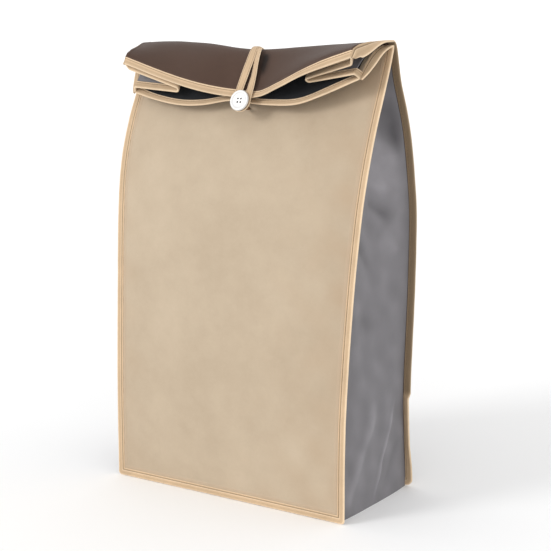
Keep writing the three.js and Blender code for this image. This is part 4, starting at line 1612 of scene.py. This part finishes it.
# Lamps: name, strength, spread in degrees and the way toward the lamp.
LAMPS = [
    ("key_light", 1.25, 20, (-0.5, -0.8, 0.38)),
    ("fill_light", 0.45, 50, (0.6, -0.75, 0.25)),
]


def build_floor(material):
    """A wide floor that curves up all round."""
    profile = [(POLE, 0), (FLOOR_FLAT, 0)]
    for angle in np.linspace(0, math.pi / 2, 14):
        across = FLOOR_BEND_FROM + FLOOR_BEND * math.sin(angle)
        profile.append((across, FLOOR_BEND * (1 - math.cos(angle))))
    floor = turned_object("studio_floor", *lathe(profile, 72))
    floor.data.shade_smooth()
    floor.data.materials.append(material)


def build_light(context):
    """A white sky with two broad lamps."""
    world = bpy.data.worlds.new("studio_light")
    world.use_nodes = True
    background = world.node_tree.nodes["Background"]
    background.inputs["Color"].default_value = (1, 1, 1, 1)
    background.inputs["Strength"].default_value = SKY_STRENGTH
    context.scene.world = world
    for name, energy, spread, toward in LAMPS:
        lamp = bpy.data.lights.new(name, "SUN")
        lamp.energy = energy
        lamp.angle = math.radians(spread)
        light = bpy.data.objects.new(name, lamp)
        light.rotation_euler = Vector(toward).to_track_quat("Z", "Y").to_euler()
        context.scene.collection.objects.link(light)
    context.scene.view_settings.view_transform = "Standard"


def build_camera(context):
    """The photograph's camera."""
    lens = bpy.data.cameras.new("photo_camera")
    lens.lens = CAMERA_LENS
    lens.sensor_width = SENSOR
    lens.sensor_fit = "HORIZONTAL"
    camera = bpy.data.objects.new("photo_camera", lens)
    turn, dip = math.radians(CAMERA_TURN), math.radians(CAMERA_DIP)
    back = Vector((math.sin(turn) * math.cos(dip), -math.cos(turn) * math.cos(dip), math.sin(dip)))
    camera.location = CAMERA_PLACE
    camera.rotation_euler = back.to_track_quat("Z", "Y").to_euler()
    context.scene.collection.objects.link(camera)
    context.scene.camera = camera


class BAG_PT_panel(bpy.types.Panel):
    """The bag's settings and building steps"""

    bl_label = "Potato Storage Bag"
    bl_idname = "BAG_PT_panel"
    bl_space_type = "VIEW_3D"
    bl_region_type = "UI"
    bl_category = "Bag"

    def draw(self, context):
        for group in (context.scene.bag_sizes, context.scene.bag_colours):
            box = self.layout.box()
            for name in group.__annotations__:
                box.prop(group, name)
        for operator in STEPS:
            self.layout.operator(operator.bl_idname)


STEPS = (
    BAG_OT_body,
    BAG_OT_panels,
    BAG_OT_linings,
    BAG_OT_tucks,
    BAG_OT_edge_tapes,
    BAG_OT_rim_tape,
    BAG_OT_loop,
    BAG_OT_button,
    BAG_OT_stage,
)
CLASSES = (BagSizes, BagColours, *STEPS, BAG_PT_panel)


def register():
    for made in CLASSES:
        bpy.utils.register_class(made)
    bpy.types.Scene.bag_sizes = bpy.props.PointerProperty(type=BagSizes)
    bpy.types.Scene.bag_colours = bpy.props.PointerProperty(type=BagColours)


def unregister():
    del bpy.types.Scene.bag_colours
    del bpy.types.Scene.bag_sizes
    for made in reversed(CLASSES):
        bpy.utils.unregister_class(made)


def main():
    register()
    bpy.ops.bag.body()
    bpy.ops.bag.panels()
    bpy.ops.bag.linings()
    bpy.ops.bag.tucks()
    bpy.ops.bag.edge_tapes()
    bpy.ops.bag.rim_tape()
    bpy.ops.bag.loop()
    bpy.ops.bag.button()
    bpy.ops.bag.stage()


if __name__ == "__main__":
    main()
